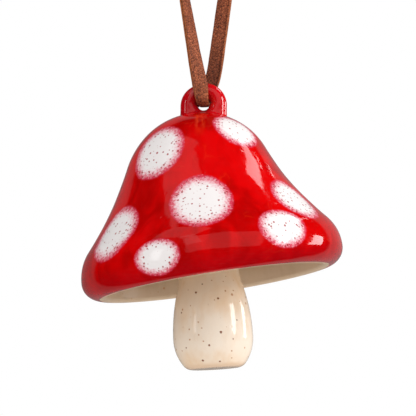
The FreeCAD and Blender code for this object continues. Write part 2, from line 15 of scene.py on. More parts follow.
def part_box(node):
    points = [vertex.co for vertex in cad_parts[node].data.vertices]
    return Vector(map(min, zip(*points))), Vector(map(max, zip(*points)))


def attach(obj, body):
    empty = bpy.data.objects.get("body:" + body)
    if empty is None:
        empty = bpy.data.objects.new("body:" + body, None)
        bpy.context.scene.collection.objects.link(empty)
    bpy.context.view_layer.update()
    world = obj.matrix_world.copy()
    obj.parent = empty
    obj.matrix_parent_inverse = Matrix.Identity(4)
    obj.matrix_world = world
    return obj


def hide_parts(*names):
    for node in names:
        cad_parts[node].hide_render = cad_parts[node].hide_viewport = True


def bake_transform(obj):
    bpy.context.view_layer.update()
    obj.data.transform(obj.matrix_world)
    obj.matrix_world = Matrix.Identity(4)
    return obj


bl_info = {
    "name": "Ceramic mushroom ornament",
    "version": (1, 0, 0),
    "blender": (4, 5, 0),
    "location": "View3D > Sidebar > Ornament",
    "description": "Glazed mushroom, hanging ring and leather lace round a packed frame",
    "category": "Object",
}

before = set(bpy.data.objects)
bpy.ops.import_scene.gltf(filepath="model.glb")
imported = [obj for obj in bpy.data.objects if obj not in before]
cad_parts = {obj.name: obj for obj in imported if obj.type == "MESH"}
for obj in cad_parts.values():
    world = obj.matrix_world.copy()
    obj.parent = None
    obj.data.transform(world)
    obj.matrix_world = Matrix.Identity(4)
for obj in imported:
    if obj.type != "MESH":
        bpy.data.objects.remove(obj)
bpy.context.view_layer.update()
MM = 0.001
UP = Vector((0, 0, 1))


def length(name, description, millimetres):
    """A length setting, given in millimetres and kept in metres."""
    return FloatProperty(name=name, description=description, default=millimetres * MM,
                         min=0.0, precision=5, unit="LENGTH")


def angle(name, description, degrees):
    """An angle setting, given in degrees and kept in radians."""
    return FloatProperty(name=name, description=description, default=math.radians(degrees),
                         subtype="ANGLE")


def colour(name, description, red, green, blue):
    """A colour setting in linear light."""
    return FloatVectorProperty(name=name, description=description, default=(red, green, blue),
                               min=0.0, max=1.0, size=3, subtype="COLOR")


class CapSettings(bpy.types.PropertyGroup):
    """Sizes and glazes of the bell-shaped cap"""
    tilt: angle("Tilt", "Lean of the cap's axis to the left", 8.8)
    radius: length("Radius", "Widest radius", 34.0)
    height: length("Height", "Crown above the lip's lowest line", 44.15)
    dome: length("Dome", "Radius of the round top", 19.8)
    flare: length("Flare", "Radius of the hollow curve below the dome", 80.8)
    shoulder: length("Shoulder", "Round above the widest line", 11.5)
    lip: length("Lip", "Round below the widest line", 4.65)
    lip_inside: length("Lip inside", "Round on the lip's inner edge", 1.2)
    wall: length("Wall", "Clay and glaze together", 4.35)
    coat: length("Coat", "Thickness of the coloured glaze", 0.35)
    coat_end: length("Coat end", "Bare lip outside its lowest line", 0.55)
    aside: length("Aside", "Middle of the round top left of the ring's middle", 0.35)
    unevenness: length("Unevenness", "How far the hand-thrown form wanders", 0.16)
    press: length("Press", "How far the flank is pressed to the left", 0.52)
    press_top: length("Press top", "Where that press begins above the lip", 40.0)
    press_run: length("Press run", "Height over which it grows to the full", 16.0)
    deep_red: colour("Deep red", "Glaze where it lies thick", 0.380, 0.0, 0.0)
    bright_red: colour("Bright red", "Glaze where it lies thin", 0.640, 0.0005, 0.0010)
    # Painted shade: a darker red for the underside of the lip, where less light comes from below.
    lip_shade_red: colour("Pooled red", "Glaze that pools on the lip", 0.300, 0.001, 0.004)
    orange: colour("Orange", "Brush lines where the clay shows through", 0.850, 0.055, 0.012)
    white: colour("White", "Middle of the spots", 0.820, 0.775, 0.765)
    blush: colour("Blush", "Pale bleeding edge of the spots", 0.780, 0.430, 0.470)
    rim: colour("Rim", "Dark bleeding edge of the spots", 0.590, 0.040, 0.080)
    speck: colour("Speck", "Iron specks in the white", 0.330, 0.008, 0.014)
    # Painted shade: the inside of the bell gets a darker copy of the stem's cream for the shade under the
    # cap, and turns towards the darker colour below higher up inside.
    inside: colour("Inside", "Cream glaze inside the bell", 0.600, 0.435, 0.290)
    inside_shaded: colour("Inside, dark", "The same where it lies thick", 0.440, 0.290, 0.165)


class StemSettings(bpy.types.PropertyGroup):
    """Sizes and glaze of the stem"""
    offset: length("Offset", "Stem axis left of the cap axis at the lip", 1.74)
    lean: angle("Lean", "Lean of the stem axis to the cap axis", 5.3)
    belly: length("Belly", "Widest radius", 10.2)
    belly_drop: length("Belly drop", "Widest line below the lip", 13.9)
    lower_curve: length("Lower curve", "Curve from the belly to the foot", 11.2)
    upper_curve: length("Upper curve", "Curve from the belly to the neck", 47.0)
    curve_end: length("Curve end", "Where that curve gives way to the neck, below the lip", 1.05)
    neck_curve: length("Neck curve", "Hollow curve into the straight neck", 27.3)
    top: length("Top", "Top end above the lip, let into the cap", 41.8)
    foot_drop: length("Foot drop", "Flat foot below the lip, along the stem", 21.7)
    foot_edge: length("Foot edge", "Round on the edge of the foot", 2.6)
    coil: length("Coil", "Roll of clay round the stem's top end", 1.7)
    vent: length("Vent", "Firing vent under the cap", 2.0)
    vent_height: length("Vent height", "Firing vent above the lip", 24.0)
    vent_depth: length("Vent depth", "How deep the vent goes into the clay", 4.0)
    unevenness: length("Unevenness", "How far the hand-built form wanders", 0.14)
    cream: colour("Cream", "Clear glaze over pale clay", 0.845, 0.735, 0.620)
    # The stem is also mixed towards this colour at its top and on its left, as painted shade.
    warm: colour("Warm", "Glaze where it lies thick and browner", 0.740, 0.460, 0.230)
    iron: colour("Iron", "Dark specks", 0.180, 0.040, 0.006)
    rust: colour("Rust", "Small orange-brown specks", 0.420, 0.170, 0.060)
    bare: colour("Bare", "Wiped clay of the foot", 0.720, 0.510, 0.350)


class RingSettings(bpy.types.PropertyGroup):
    """Sizes of the hanging ring"""
    tube: length("Roll", "Radius of the clay roll", 1.95)
    arch: length("Arch", "Centre line of the arch", 4.05)
    rise: length("Rise", "Middle of the arch's top above the crown", 5.66)
    root: length("Root", "Legs below the crown's height", 2.6)
    pivot_drop: length("Drop", "Middle of the arch's top below the loop", 47.1)
    coil_length: length("Coil length", "Half length of the clay pressed round the legs", 7.4)
    coil_width: length("Coil width", "Half width of that clay", 4.6)
    coil_rise: length("Coil rise", "Top of that clay above the crown", 0.4)
    hole: length("Hole", "Round bottom of the hole", 1.5)
    # On the ring these two reds are also mixed from left to right, as painted shade on its left and painted
    # light on its right, besides the thick and thin patches of the glaze.
    deep_red: colour("Deep red", "Glaze that lies thick on the ring", 0.240, 0.0, 0.004)
    bright_red: colour("Bright red", "The same where it lies thin", 0.760, 0.004, 0.008)
    bulge: length("Bulge", "How far the arch bulges to the right", 0.33)
    thick_legs: length("Thick legs", "Roll thicker in its legs, towards the hole", 0.16)
    unevenness: length("Unevenness", "How far the roll's radius wanders", 0.06)
    leg_spread: length("Leg spread", "How fast the legs thicken towards the cap", 0.12)
    bowl_inset: length("Bowl inset", "Middle of the clay under the hole, inside the arch's line", 0.45)
    fill: length("Fill", "Clay pressed into the bottom of the hole", 0.3)
    voxel: length("Voxel", "Detail of the pressed form", 0.2)
    smoothing: IntProperty(name="Smoothing", description="Passes that soften the joins", default=9, min=0)


class LaceSettings(bpy.types.PropertyGroup):
    """Sizes and colours of the flat leather lace"""
    width: length("Width", "Full width", 4.0)
    thickness: length("Thickness", "Thickness", 1.2)
    waist: length("Waist", "Width where the ring's hole pinches it", 3.05)
    whole: length("Length", "From the knot, through the ring and back", 116.0)
    band: length("Knot band", "Width of the lace pulled tight in the knot", 3.0)
    grain: colour("Grain", "Hair side of the leather", 0.430, 0.112, 0.046)
    dark: colour("Dark", "Deep grain", 0.050, 0.012, 0.007)
    fleck: colour("Fleck", "Rubbed flecks of the grain", 0.620, 0.200, 0.070)
    edge: colour("Edge", "Cut and burnished edges", 0.500, 0.140, 0.036)


class StageSettings(bpy.types.PropertyGroup):
    """Camera, floor and lamps"""
    lens: FloatProperty(name="Lens", description="Focal length", default=202.35, unit="CAMERA")
    distance: length("Distance", "Camera from the ornament", 600.0)
    rise: angle("Rise", "How far the camera looks up", 6.95)
    aim_right: length("Aim right", "Point looked at, right of the loop", 1.155)
    aim_drop: length("Aim drop", "Point looked at, below the loop", 77.37)
    floor_drop: length("Floor drop", "Floor below the loop", 600.0)
    floor_reach: length("Floor reach", "Floor's edges from the middle", 3000.0)
    floor: colour("Floor", "Pale floor", 0.900, 0.900, 0.895)


# Azimuth from the front in degrees (right is positive), height as a share of the cap's height,
# half width and half height as shares of the cap's radius.
SPOTS = (
    (-35.0, 0.768, 0.218, 0.237), (46.0, 0.836, 0.191, 0.184), (-1.4, 0.408, 0.234, 0.249),
    (55.0, 0.366, 0.207, 0.213), (34.0, 0.200, 0.207, 0.158), (-52.8, 0.330, 0.238, 0.237),
    (-23.8, 0.133, 0.182, 0.130), (118.0, 0.746, 0.200, 0.212), (107.0, 0.253, 0.194, 0.165),
    (146.0, 0.444, 0.229, 0.235), (180.0, 0.815, 0.203, 0.209), (-168.0, 0.278, 0.223, 0.196),
    (-122.0, 0.707, 0.206, 0.218), (-134.0, 0.326, 0.218, 0.206), (-104.0, 0.139, 0.176, 0.130),
    (140.0, 0.136, 0.182, 0.130),
)

# Specks on the stem: azimuth in degrees, millimetres below the lip, radius in millimetres.
IRON_SPECKS = (
    (-25, 2.7, 0.30), (11, 4.6, 0.30), (-52, 7.4, 0.26), (11, 13.2, 0.34), (-7, 16.3, 0.28),
    (-21, 19.9, 0.31), (9, 20.4, 0.27), (-45, 16.4, 0.24), (29, 15.0, 0.22), (38, 10.2, 0.23),
    (-14, 0.7, 0.22), (110, 5.0, 0.30), (150, 13.5, 0.33), (-170, 8.0, 0.27), (-130, 16.0, 0.32),
)
RUST_SPECKS = (
    (-56, 17.0, 0.24), (53, 17.2, 0.26), (-21, 10.3, 0.24), (-16, 11.8, 0.24), (-21, 13.5, 0.23),
    (-15, 15.2, 0.23), (30, 19.7, 0.22), (-41, 1.7, 0.22), (5, 4.9, 0.22), (3, -0.1, 0.22),
    (31, -1.1, 0.20), (47, 0.0, 0.22), (24, 0.3, 0.20), (12, 9.6, 0.20), (-5, 6.0, 0.20),
    (-33, 8.8, 0.20), (-48, 11.2, 0.22), (20, 12.0, 0.20), (-100, 11.0, 0.24), (175, 18.5, 0.27),
    (128, 18.0, 0.22), (-150, 3.0, 0.30), (95, 12.0, 0.24), (-120, 6.5, 0.22), (160, 3.5, 0.22),
)

# The distance, in shares of a mark's size, of a vertex that no mark reaches.
FAR = 9.0
# Profile points that are nearer than this to each other count as one.
SAME_POINT = 0.01 * MM


# Meshes


def placed(name, data):
    """A new object in the scene that holds a mesh, a lamp or a camera."""
    thing = bpy.data.objects.new(name, data)
    bpy.context.scene.collection.objects.link(thing)
    return thing


def new_piece(name, mesh, body=None):
    """Put a mesh in the scene as a smooth piece, which may ride on a body."""
    mesh.shade_smooth()
    piece = placed(name, mesh)
    if body:
        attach(piece, body)
    return piece


def made(name, points, faces):
    """A new mesh of points and faces."""
    mesh = bpy.data.meshes.new(name)
    mesh.from_pydata(points, [], faces)
    return mesh


def applied(thing, name):
    """The mesh of an object after its modifiers, which takes the object's place."""
    graph = bpy.context.evaluated_depsgraph_get()
    result = bpy.data.meshes.new_from_object(thing.evaluated_get(graph))
    result.name = name
    bpy.data.objects.remove(thing)
    return result


def grid_faces(rows, columns, closed=False):
    """Quads of a grid whose columns close into a ring, and whose rows may close too."""
    faces = []
    for row in range(rows if closed else rows - 1):
        low, high = row * columns, (row + 1) % rows * columns
        for column in range(columns):
            beside = (column + 1) % columns
            faces.append((low + column, low + beside, high + beside, high + column))
    return faces


def swept_faces(rows, columns, closed=False):
    """Faces of a form swept along a path, with a flat face at each end of an open one."""
    faces = grid_faces(rows, columns, closed)
    if not closed:
        faces.append(tuple(range(columns))[::-1])
        faces.append(tuple(range((rows - 1) * columns, rows * columns)))
    return faces


def set_vectors(mesh, name, values):
    """Keep one vector for each vertex, for the materials to read."""
    mesh.attributes.new(name, "FLOAT_VECTOR", "POINT").data.foreach_set(
        "vector", np.asarray(values, np.float32).ravel())


def arc(centre, radius, first, last, step=0.35 * MM):
    """Points of an arc in a profile's plane, its angles taken from outward towards up."""
    count = max(3, round(abs(last - first) * radius / step))
    turn = np.linspace(first, last, count)
    return np.column_stack((centre[0] + radius * np.cos(turn), centre[1] + radius * np.sin(turn)))


def joined(*lines):
    """One profile of several, without the points that repeat where they meet."""
    points = [lines[0][0]]
    for line in lines:
        for point in line:
            if math.dist(point, points[-1]) > SAME_POINT:
                points.append(point)
    return np.array(points)


def heading(start, end):
    """Angle of the way from one profile point to another."""
    return math.atan2(end[1] - start[1], end[0] - start[0])


def outward(line):
    """Unit normals on the left of a profile that runs from the crown down the outside."""
    run = np.gradient(line, axis=0)
    normal = np.column_stack((-run[:, 1], run[:, 0]))
    return normal / np.linalg.norm(normal, axis=1)[:, None]


def turned(name, line, segments, unevenness=0.0, seed=0.0):
    """A closed turned form: a profile from axis to axis, swept round and a little uneven."""
    inner = line[1:-1]
    turn = np.linspace(0, math.tau, segments, endpoint=False)
    reach, height = np.repeat(inner[:, 0], segments), np.repeat(inner[:, 1], segments)
    around = np.tile(turn, len(inner))
    points = np.column_stack((reach * np.sin(around), -reach * np.cos(around), height))
    points = np.vstack((points, (0, 0, line[0][1]), (0, 0, line[-1][1])))
    wave_size, usual_reach = 17 * MM, 18 * MM
    if unevenness:
        for point in points:
            place = Vector(point) / wave_size + Vector((seed, 0, 0))
            shift = noise.noise(place) + 0.35 * noise.noise(place * 2.6)
            point[:2] *= 1 + shift * unevenness / usual_reach
    top, bottom = len(points) - 2, len(points) - 1
    last = (len(inner) - 1) * segments
    faces = grid_faces(len(inner), segments)
    faces += [(top, (column + 1) % segments, column) for column in range(segments)]
    faces += [(bottom, last + column, last + (column + 1) % segments) for column in range(segments)]
    mesh = made(name, points.tolist(), faces)
    mesh.validate()
    return mesh


def face_outward(mesh):
    """Make all normals of a closed mesh point out of it."""
    form = bmesh.new()
    form.from_mesh(mesh)
    bmesh.ops.recalc_face_normals(form, faces=form.faces)
    form.to_mesh(mesh)
    form.free()


def vertices(mesh):
    """The vertices of a mesh as rows."""
    points = np.empty(len(mesh.vertices) * 3, np.float32)
    mesh.vertices.foreach_get("co", points)
    return points.reshape(-1, 3).astype(float)


def nearest_marks(points, marks):
    """For each point, its place in the nearest mark: across, up and away, in shares of its size."""
    best = np.full(len(points), np.inf)
    places = np.full((len(points), 3), FAR)
    for centre, across, uphill, normal, wide, high, deep in marks:
        offset = points - np.array(centre)
        local = np.column_stack((offset @ np.array(across) / wide, offset @ np.array(uphill) / high))
        far = np.hypot(local[:, 0], local[:, 1])
        far[offset @ np.array(normal) < -deep] = np.inf
        nearer = far < best
        best[nearer] = far[nearer]
        places[nearer, :2] = local[nearer]
    places[:, 2] = np.minimum(best, FAR)
    return places


def mark_on(line, azimuth, height, wide, high, deep):
    """A mark on a turned form: its place, axes, half sizes and how deep below the form it reaches."""
    normals = outward(line)
    order = np.argsort(line[:, 1])
    reach = np.interp(height, line[order, 1], line[order, 0])
    slope = Vector([np.interp(height, line[order, 1], normals[order, axis]) for axis in (0, 1)])
    slope.normalize()
    out = Vector((math.sin(azimuth), -math.cos(azimuth), 0))
    across = Vector((math.cos(azimuth), math.sin(azimuth), 0))
    normal = out * slope.x + UP * slope.y
    return out * reach + UP * height, across, normal.cross(across), normal, wide, high, deep


def cap_place(cap, ring):
    """The cap's own frame: its axis through the lip, the lip's lowest line at height zero."""
    dome = Vector((-cap.aside, 0, -ring.pivot_drop - ring.rise - cap.dome))
    turn = Matrix.Rotation(-cap.tilt, 4, "Y")
    return Matrix.Translation(dome - turn @ (UP * (cap.height - cap.dome))) @ turn


def cap_outside(cap):
    """The glazed profile from the crown to the lip's lowest line."""
    dome = np.array((0, cap.height - cap.dome))
    shoulder = np.array((cap.radius - cap.shoulder, cap.lip))
    lip = np.array((cap.radius - cap.lip, cap.lip))
    span = math.dist(dome, shoulder)
    near, far = cap.dome + cap.flare, cap.shoulder + cap.flare
    reach = (near ** 2 - far ** 2 + span ** 2) / (2 * span)
    step = (shoulder - dome) / span
    flare = dome + step * reach + np.array((-step[1], step[0])) * math.sqrt(near ** 2 - reach ** 2)
    first, second = heading(dome, flare), heading(shoulder, flare)
    line = joined(arc(dome, cap.dome, math.pi / 2, first),
                  arc(flare, cap.flare, first + math.pi, second + math.pi),
                  arc(shoulder, cap.shoulder, second, 0), arc(lip, cap.lip, 0, -math.pi / 2, 0.2 * MM))
    return line, dome, flare, first


class OBJECT_OT_mushroom_cap(bpy.types.Operator):
    """Build the clay bell and its coat of red glaze with white spots"""
    bl_idname = "object.mushroom_cap"
    bl_label = "Mushroom cap"

    def execute(self, context):
        cap, ring = context.scene.mushroom_cap, context.scene.mushroom_ring
        place = cap_place(cap, ring)
        line, dome, flare, first = cap_outside(cap)
        walk = np.concatenate(([0], np.cumsum(np.linalg.norm(np.diff(line, axis=0), axis=1))))
        left = walk[-1] - cap.coat_end - walk
        normals = outward(line)
        depth = cap.coat * np.clip(left / (3 * cap.coat), 0, 1) ** 0.5
        under = line - normals * depth[:, None]
        under[0, 0] = 0

        covered = left >= 0
        lift, deep = 0.02 * MM, 7 * MM
        coat_line = np.vstack((line[covered], under[covered][::-1] + (0, lift)))
        coat_line[-1, 0] = 0
        coat = turned("red_and_white_glaze", coat_line, 400, cap.unevenness, 3.0)
        marks = [mark_on(line, math.radians(azimuth), high * cap.height, wide * cap.radius,
                         rise * cap.radius, deep) for azimuth, high, wide, rise in SPOTS]
        set_vectors(coat, "spot", nearest_marks(vertices(coat), marks))

        lip_round = arc((line[-1][0], cap.lip_inside), cap.lip_inside, -math.pi / 2, -math.pi, 0.1 * MM)
        within, bend = cap.flare + cap.wall, 0.7
        waist = flare - within * np.array((math.cos(bend), math.sin(bend)))
        throat = arc(flare, within, math.pi + bend, first + math.pi, 0.5 * MM)
        ceiling = arc(dome, cap.dome - cap.wall, first, math.pi / 2, 0.5 * MM)
        bell_line = joined(under, lip_round, np.linspace(lip_round[-1], waist, 24), throat, ceiling)
        bell_line[-1, 0] = 0
        bell = turned("clay_bell", bell_line, 320, cap.unevenness, 3.0)

        for mesh in (coat, bell):
            points = vertices(mesh)
            level = points[:, 2]
            low = np.clip((cap.press_top - level) / cap.press_run, 0, 1)
            points[:, 0] -= cap.press * low * low * (3 - 2 * low) * (1 + 0.42 * points[:, 0] / cap.radius)
            set_vectors(mesh, "level", np.column_stack((level, level, points[:, 0])))
            mesh.vertices.foreach_set("co", points.astype(np.float32).ravel())
            mesh.transform(place)
            face_outward(mesh)
        coat.materials.append(spotted_glaze(cap))
        # The inside gets darker, painted-shade copies of the cream glaze.
        bell.materials.append(cream_glaze("cream_glaze_inside_shaded", context.scene.mushroom_stem,
                                          cap.inside, cap.inside_shaded, dull=0.28))
        glaze = new_piece("cap_glaze", coat, "mushroom")
        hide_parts("red_cap_glaze", *["white_spot_%02d" % n for n in range(1, len(SPOTS) + 1)])
        clay = new_piece("cap_bell", bell, "mushroom")
        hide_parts("cap_body")
        return {"FINISHED"}


def rod(path, radii, segments=40):
    """Points and faces of a closed round roll along a path, with a radius at each point."""
    path = [Vector(point) for point in path]
    points = []
    for number, middle in enumerate(path):
        run = (path[min(number + 1, len(path) - 1)] - path[max(number - 1, 0)]).normalized()
        side = Vector((0, 1, 0))
        other = run.cross(side)
        for step in range(segments):
            turn = math.tau * step / segments
            points.append(middle + (side * math.cos(turn) + other * math.sin(turn)) * radii[number])
    return points, swept_faces(len(path), segments)


def pressed(name, forms, voxel, passes):
    """Press closed forms into one skin and soften the joins between them."""
    points, faces = [], []
    for form_points, form_faces in forms:
        faces += [tuple(len(points) + corner for corner in face) for face in form_faces]
        points += form_points
    mesh = made(name, [Vector(point) / MM for point in points], faces)
    face_outward(mesh)
    blank = placed(name, mesh)
    remesh = blank.modifiers.new("press", "REMESH")
    remesh.mode = "VOXEL"
    remesh.voxel_size = voxel / MM
    soften = blank.modifiers.new("soften", "SMOOTH")
    soften.factor = 0.5
    soften.iterations = passes
    result = applied(blank, name)
    result.transform(Matrix.Scale(MM, 4))
    return result


class OBJECT_OT_hanging_ring(bpy.types.Operator):
    """Build the ring and the clay that is pressed round its legs"""
    bl_idname = "object.mushroom_ring"
    bl_label = "Hanging ring"

    def execute(self, context):
        ring, cap = context.scene.mushroom_ring, context.scene.mushroom_cap
        centre = Vector((0, 0, -ring.pivot_drop - ring.arch))
        crown = -ring.pivot_drop - ring.rise
        low = crown - ring.root
        path, radii = [], []
        for level in np.linspace(low, centre.z, 14)[:-1]:
            path.append((-ring.arch, 0, level))
        for turn in np.linspace(math.pi, 0, 49):
            along = 1.6 * turn
            swell = ring.bulge * math.sin(along) if along < math.pi else 0.0
            path.append(centre + Vector((math.cos(turn), 0, math.sin(turn))) * (ring.arch + swell))
        for level in np.linspace(centre.z, low, 14)[1:]:
            path.append((ring.arch, 0, level))
        spread_start, spread_run, lump_size = 0.6 * MM, 3 * MM, 3.1 * MM
        for index, point in enumerate(path):
            below = max(0.0, centre.z - spread_start - point[2]) / spread_run
            spread = ring.leg_spread * min(below, 1.6) ** 2
            wander = ring.unevenness * noise.noise(Vector(point) / lump_size)
            inwards = ring.thick_legs * (point[0] / ring.arch) ** 2
            path[index] = (point[0] - math.copysign(inwards, point[0]), point[1], point[2])
            radii.append(ring.tube + inwards + wander + spread)

        bottom = Vector((0, 0, crown + ring.coil_rise + ring.hole + ring.fill))
        reach = ring.arch - ring.bowl_inset
        bowl = [bottom + Vector((math.cos(turn), 0, math.sin(turn))) * reach
                for turn in np.linspace(0, -math.pi, 40)]
        saddle = rod(bowl, [reach - ring.hole] * len(bowl))

        turn = np.linspace(math.pi / 2, -math.pi / 2, 40)
        pad = turned("pad", np.column_stack((np.cos(turn), np.sin(turn))), 72)
        sunk = 0.10 * MM
        for vertex in pad.vertices:
            share = min(1.0, math.hypot(vertex.co.x, vertex.co.y))
            x, y = vertex.co.x * ring.coil_length, vertex.co.y * ring.coil_width
            dome = crown - cap.dome + math.sqrt(cap.dome ** 2 - (x + cap.aside) ** 2 - y ** 2)
            if vertex.co.z > 0:
                lift = (ring.coil_rise + sunk) * (1 - share ** 2) ** 2
            else:
                lift = vertex.co.z * MM
            vertex.co = (x, y, dome + lift - sunk)
        pad_form = ([vertex.co.copy() for vertex in pad.vertices],
                    [tuple(face.vertices) for face in pad.polygons])
        forms = [rod(path, radii), saddle, pad_form]
        mesh = pressed("hanging_ring_skin", forms, ring.voxel, ring.smoothing)
        mesh.materials.append(plain_red_glaze(ring, cap))
        piece = new_piece("hanging_ring_and_clay", mesh, "mushroom")
        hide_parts("hanging_ring", "ring_luting_coil")
        return {"FINISHED"}


def stem_outside(stem):
    """The stem's profile about its own axis, from the axis at the top to the axis below the foot."""
    level = -stem.belly_drop
    lower = np.array((stem.belly - stem.lower_curve, level))
    upper = np.array((stem.belly - stem.upper_curve, level))
    first = math.asin((stem.belly_drop - stem.curve_end) / stem.upper_curve)
    outwards = np.array((math.cos(first), math.sin(first)))
    neck_centre = upper + (stem.upper_curve + stem.neck_curve) * outwards
    neck = neck_centre[0] - stem.neck_curve
    rise = stem.foot_edge - stem.foot_drop - level
    edge = lower + np.array((math.sqrt((stem.lower_curve - stem.foot_edge) ** 2 - rise ** 2), rise))
    last = heading(lower, edge)
    shaft = np.linspace((neck, stem.top), neck_centre - (stem.neck_curve, 0), 90)
    foot = arc(edge, stem.foot_edge, last, -math.pi / 2, 0.25 * MM)
    return joined(np.linspace((0, stem.top), shaft[0], 8), shaft,
                  arc(neck_centre, stem.neck_curve, math.pi, first + math.pi, 0.4 * MM),
                  arc(upper, stem.upper_curve, first, 0, 0.4 * MM),
                  arc(lower, stem.lower_curve, 0, last, 0.3 * MM), foot,
                  np.linspace(foot[-1], (0, foot[-1][1]), 24))


def drilled(mesh, start, way, radius, depth):
    """A mesh with a round hole drilled into it."""
    drill = bmesh.new()
    turn = Vector(way).to_track_quat("Z", "Y").to_matrix().to_4x4()
    bmesh.ops.create_cone(drill, cap_ends=True, segments=32, radius1=radius, radius2=radius,
                          depth=2 * depth, matrix=Matrix.Translation(start) @ turn)
    tool_mesh = bpy.data.meshes.new("drill")
    drill.to_mesh(tool_mesh)
    drill.free()
    tool, blank = placed("drill", tool_mesh), placed("blank", mesh)
    cutter = blank.modifiers.new("drill", "BOOLEAN")
    cutter.object, cutter.operation, cutter.solver = tool, "DIFFERENCE", "EXACT"
    result = applied(blank, mesh.name)
    bpy.data.objects.remove(tool)
    return result


def specks_on(line, points, specks):
    """How far each point of a turned form is from the nearest speck, in shares of its radius."""
    deep = 2 * MM
    marks = [mark_on(line, math.radians(azimuth), -drop * MM, radius * MM, radius * MM, deep)
             for azimuth, drop, radius in specks]
    return nearest_marks(points, marks)[:, 2]


def clay_coil(stem, cap, neck):
    """The roll of clay round the stem's top end, where the neck meets the inside of the cap."""
    inner = cap.dome - cap.wall
    level = cap.height - cap.dome + math.sqrt(inner ** 2 - neck ** 2) - stem.coil / 3
    points, around, rolled = [], 96, 24
    for turn in np.linspace(0, math.tau, around, endpoint=False):
        out = Vector((math.sin(turn), -math.cos(turn), 0))
        lump = 1 + 0.10 * noise.noise(out * 2.3) + 0.05 * noise.noise(out * 7.0)
        for step in np.linspace(0, math.tau, rolled, endpoint=False):
            roll = out * math.cos(step) + UP * math.sin(step)
            points.append(out * (neck + stem.coil / 2) + UP * level + roll * stem.coil * lump)
    mesh = made("stem_coil_skin", points, grid_faces(around, rolled, closed=True))
    set_vectors(mesh, "speck", np.full((len(points), 3), FAR))
    set_vectors(mesh, "level", [(level, level, 0)] * len(points))
    return mesh


class OBJECT_OT_mushroom_stem(bpy.types.Operator):
    """Build the stem, its flat foot, its vent and the coil of clay that holds it"""
    bl_idname = "object.mushroom_stem"
    bl_label = "Stem"

    def execute(self, context):
        stem, cap = context.scene.mushroom_stem, context.scene.mushroom_cap
        line = stem_outside(stem)
        neck = line[np.abs(line[:, 1] - stem.vent_height).argmin(), 0]
        mesh = turned("stem_skin", line, 220, stem.unevenness, 11.0)
        mesh = drilled(mesh, Vector((0, neck, stem.vent_height)), (0, 1, 0), stem.vent / 2,
                       stem.vent_depth)
        points = vertices(mesh)
        iron, rust = specks_on(line, points, IRON_SPECKS), specks_on(line, points, RUST_SPECKS)
        set_vectors(mesh, "speck", np.column_stack((iron, rust, rust)))
        aside, level = points[:, 0], points[:, 2]
        set_vectors(mesh, "level", np.column_stack((level + stem.foot_drop, level, aside)))
        coil = clay_coil(stem, cap, neck)
        glaze = cream_glaze("cream_glaze_stem", stem, stem.cream, stem.warm, specks=True)
        place = (cap_place(cap, context.scene.mushroom_ring) @ Matrix.Translation((-stem.offset, 0, 0))
                 @ Matrix.Rotation(stem.lean, 4, "Y"))
        for form in (mesh, coil):
            form.transform(place)
            face_outward(form)
            form.materials.append(glaze)
        piece = new_piece("mushroom_stem", mesh, "mushroom")
        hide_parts("stem")
        clay = new_piece("stem_coil", coil, "mushroom")
        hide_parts("stem_luting_coil")
        return {"FINISHED"}


# The lace


# The route's own points, in millimetres, from the knot down the front run to the ring.
FRONT_ROUTE = ((0, 0, 0.6), (-3.15, 0, 0.6), (-7.6, 0, -3.85), (-7.6, 0, -7.65), (-5.47, -0.72, -19.5),
               (-2.85, -2.55, -35.2), (-1.72, -3.35, -41.77), (-0.75, -3.5, -46.6), (-0.30, -3.45, -50.45))
BACK_ROUTE = ((0, 0, 0.6), (3.15, 0, 0.6), (7.6, 0, -3.85), (7.6, 0, -7.65), (5.95, 0.72, -19.5),
              (3.73, 2.55, -35.2), (2.74, 3.35, -42.2), (1.2, 3.5, -46.6), (0, 3.45, -50.45))
# Height in millimetres and the turn of the lace's width from sideways to front-and-back, degrees.
FRONT_TURN = ((-52.0, 0.0), (-47.0, 12.0), (-43.0, 26.0), (-36.5, 42.0), (-24.0, 58.0), (-14.0, 76.0),
              (-7.0, 90.0))
BACK_TURN = ((-52.0, 0.0), (-47.0, -8.0), (-43.0, -18.0), (-36.0, -24.0), (-24.0, -28.0), (-17.0, -46.0),
             (-11.0, -70.0), (-7.0, -90.0))
# Height in millimetres and the lace's width there, from its waist at nought to its full width at one.
PINCH = ((-50.4, 0.0), (-49.2, 0.30), (-47.6, 0.68), (-46.0, 1.0))


def spline_points(name, route, resolution=24):
    """Points along a smooth spline whose control points are the route, in millimetres."""
    curve = bpy.data.curves.new(name, "CURVE")
    curve.dimensions = "3D"
    curve.resolution_u = resolution
    spline = curve.splines.new("NURBS")
    spline.points.add(len(route) - 1)
    for control, point in zip(spline.points, route):
        control.co = (*(Vector(point) * MM), 1)
    spline.order_u = 3
    spline.use_endpoint_u = True
    line = bpy.data.objects.new(name, curve)
    mesh = bpy.data.meshes.new_from_object(line)
    points = [vertex.co.copy() for vertex in mesh.vertices]
    bpy.data.objects.remove(line)
    bpy.data.meshes.remove(mesh)
    bpy.data.curves.remove(curve)
    return points


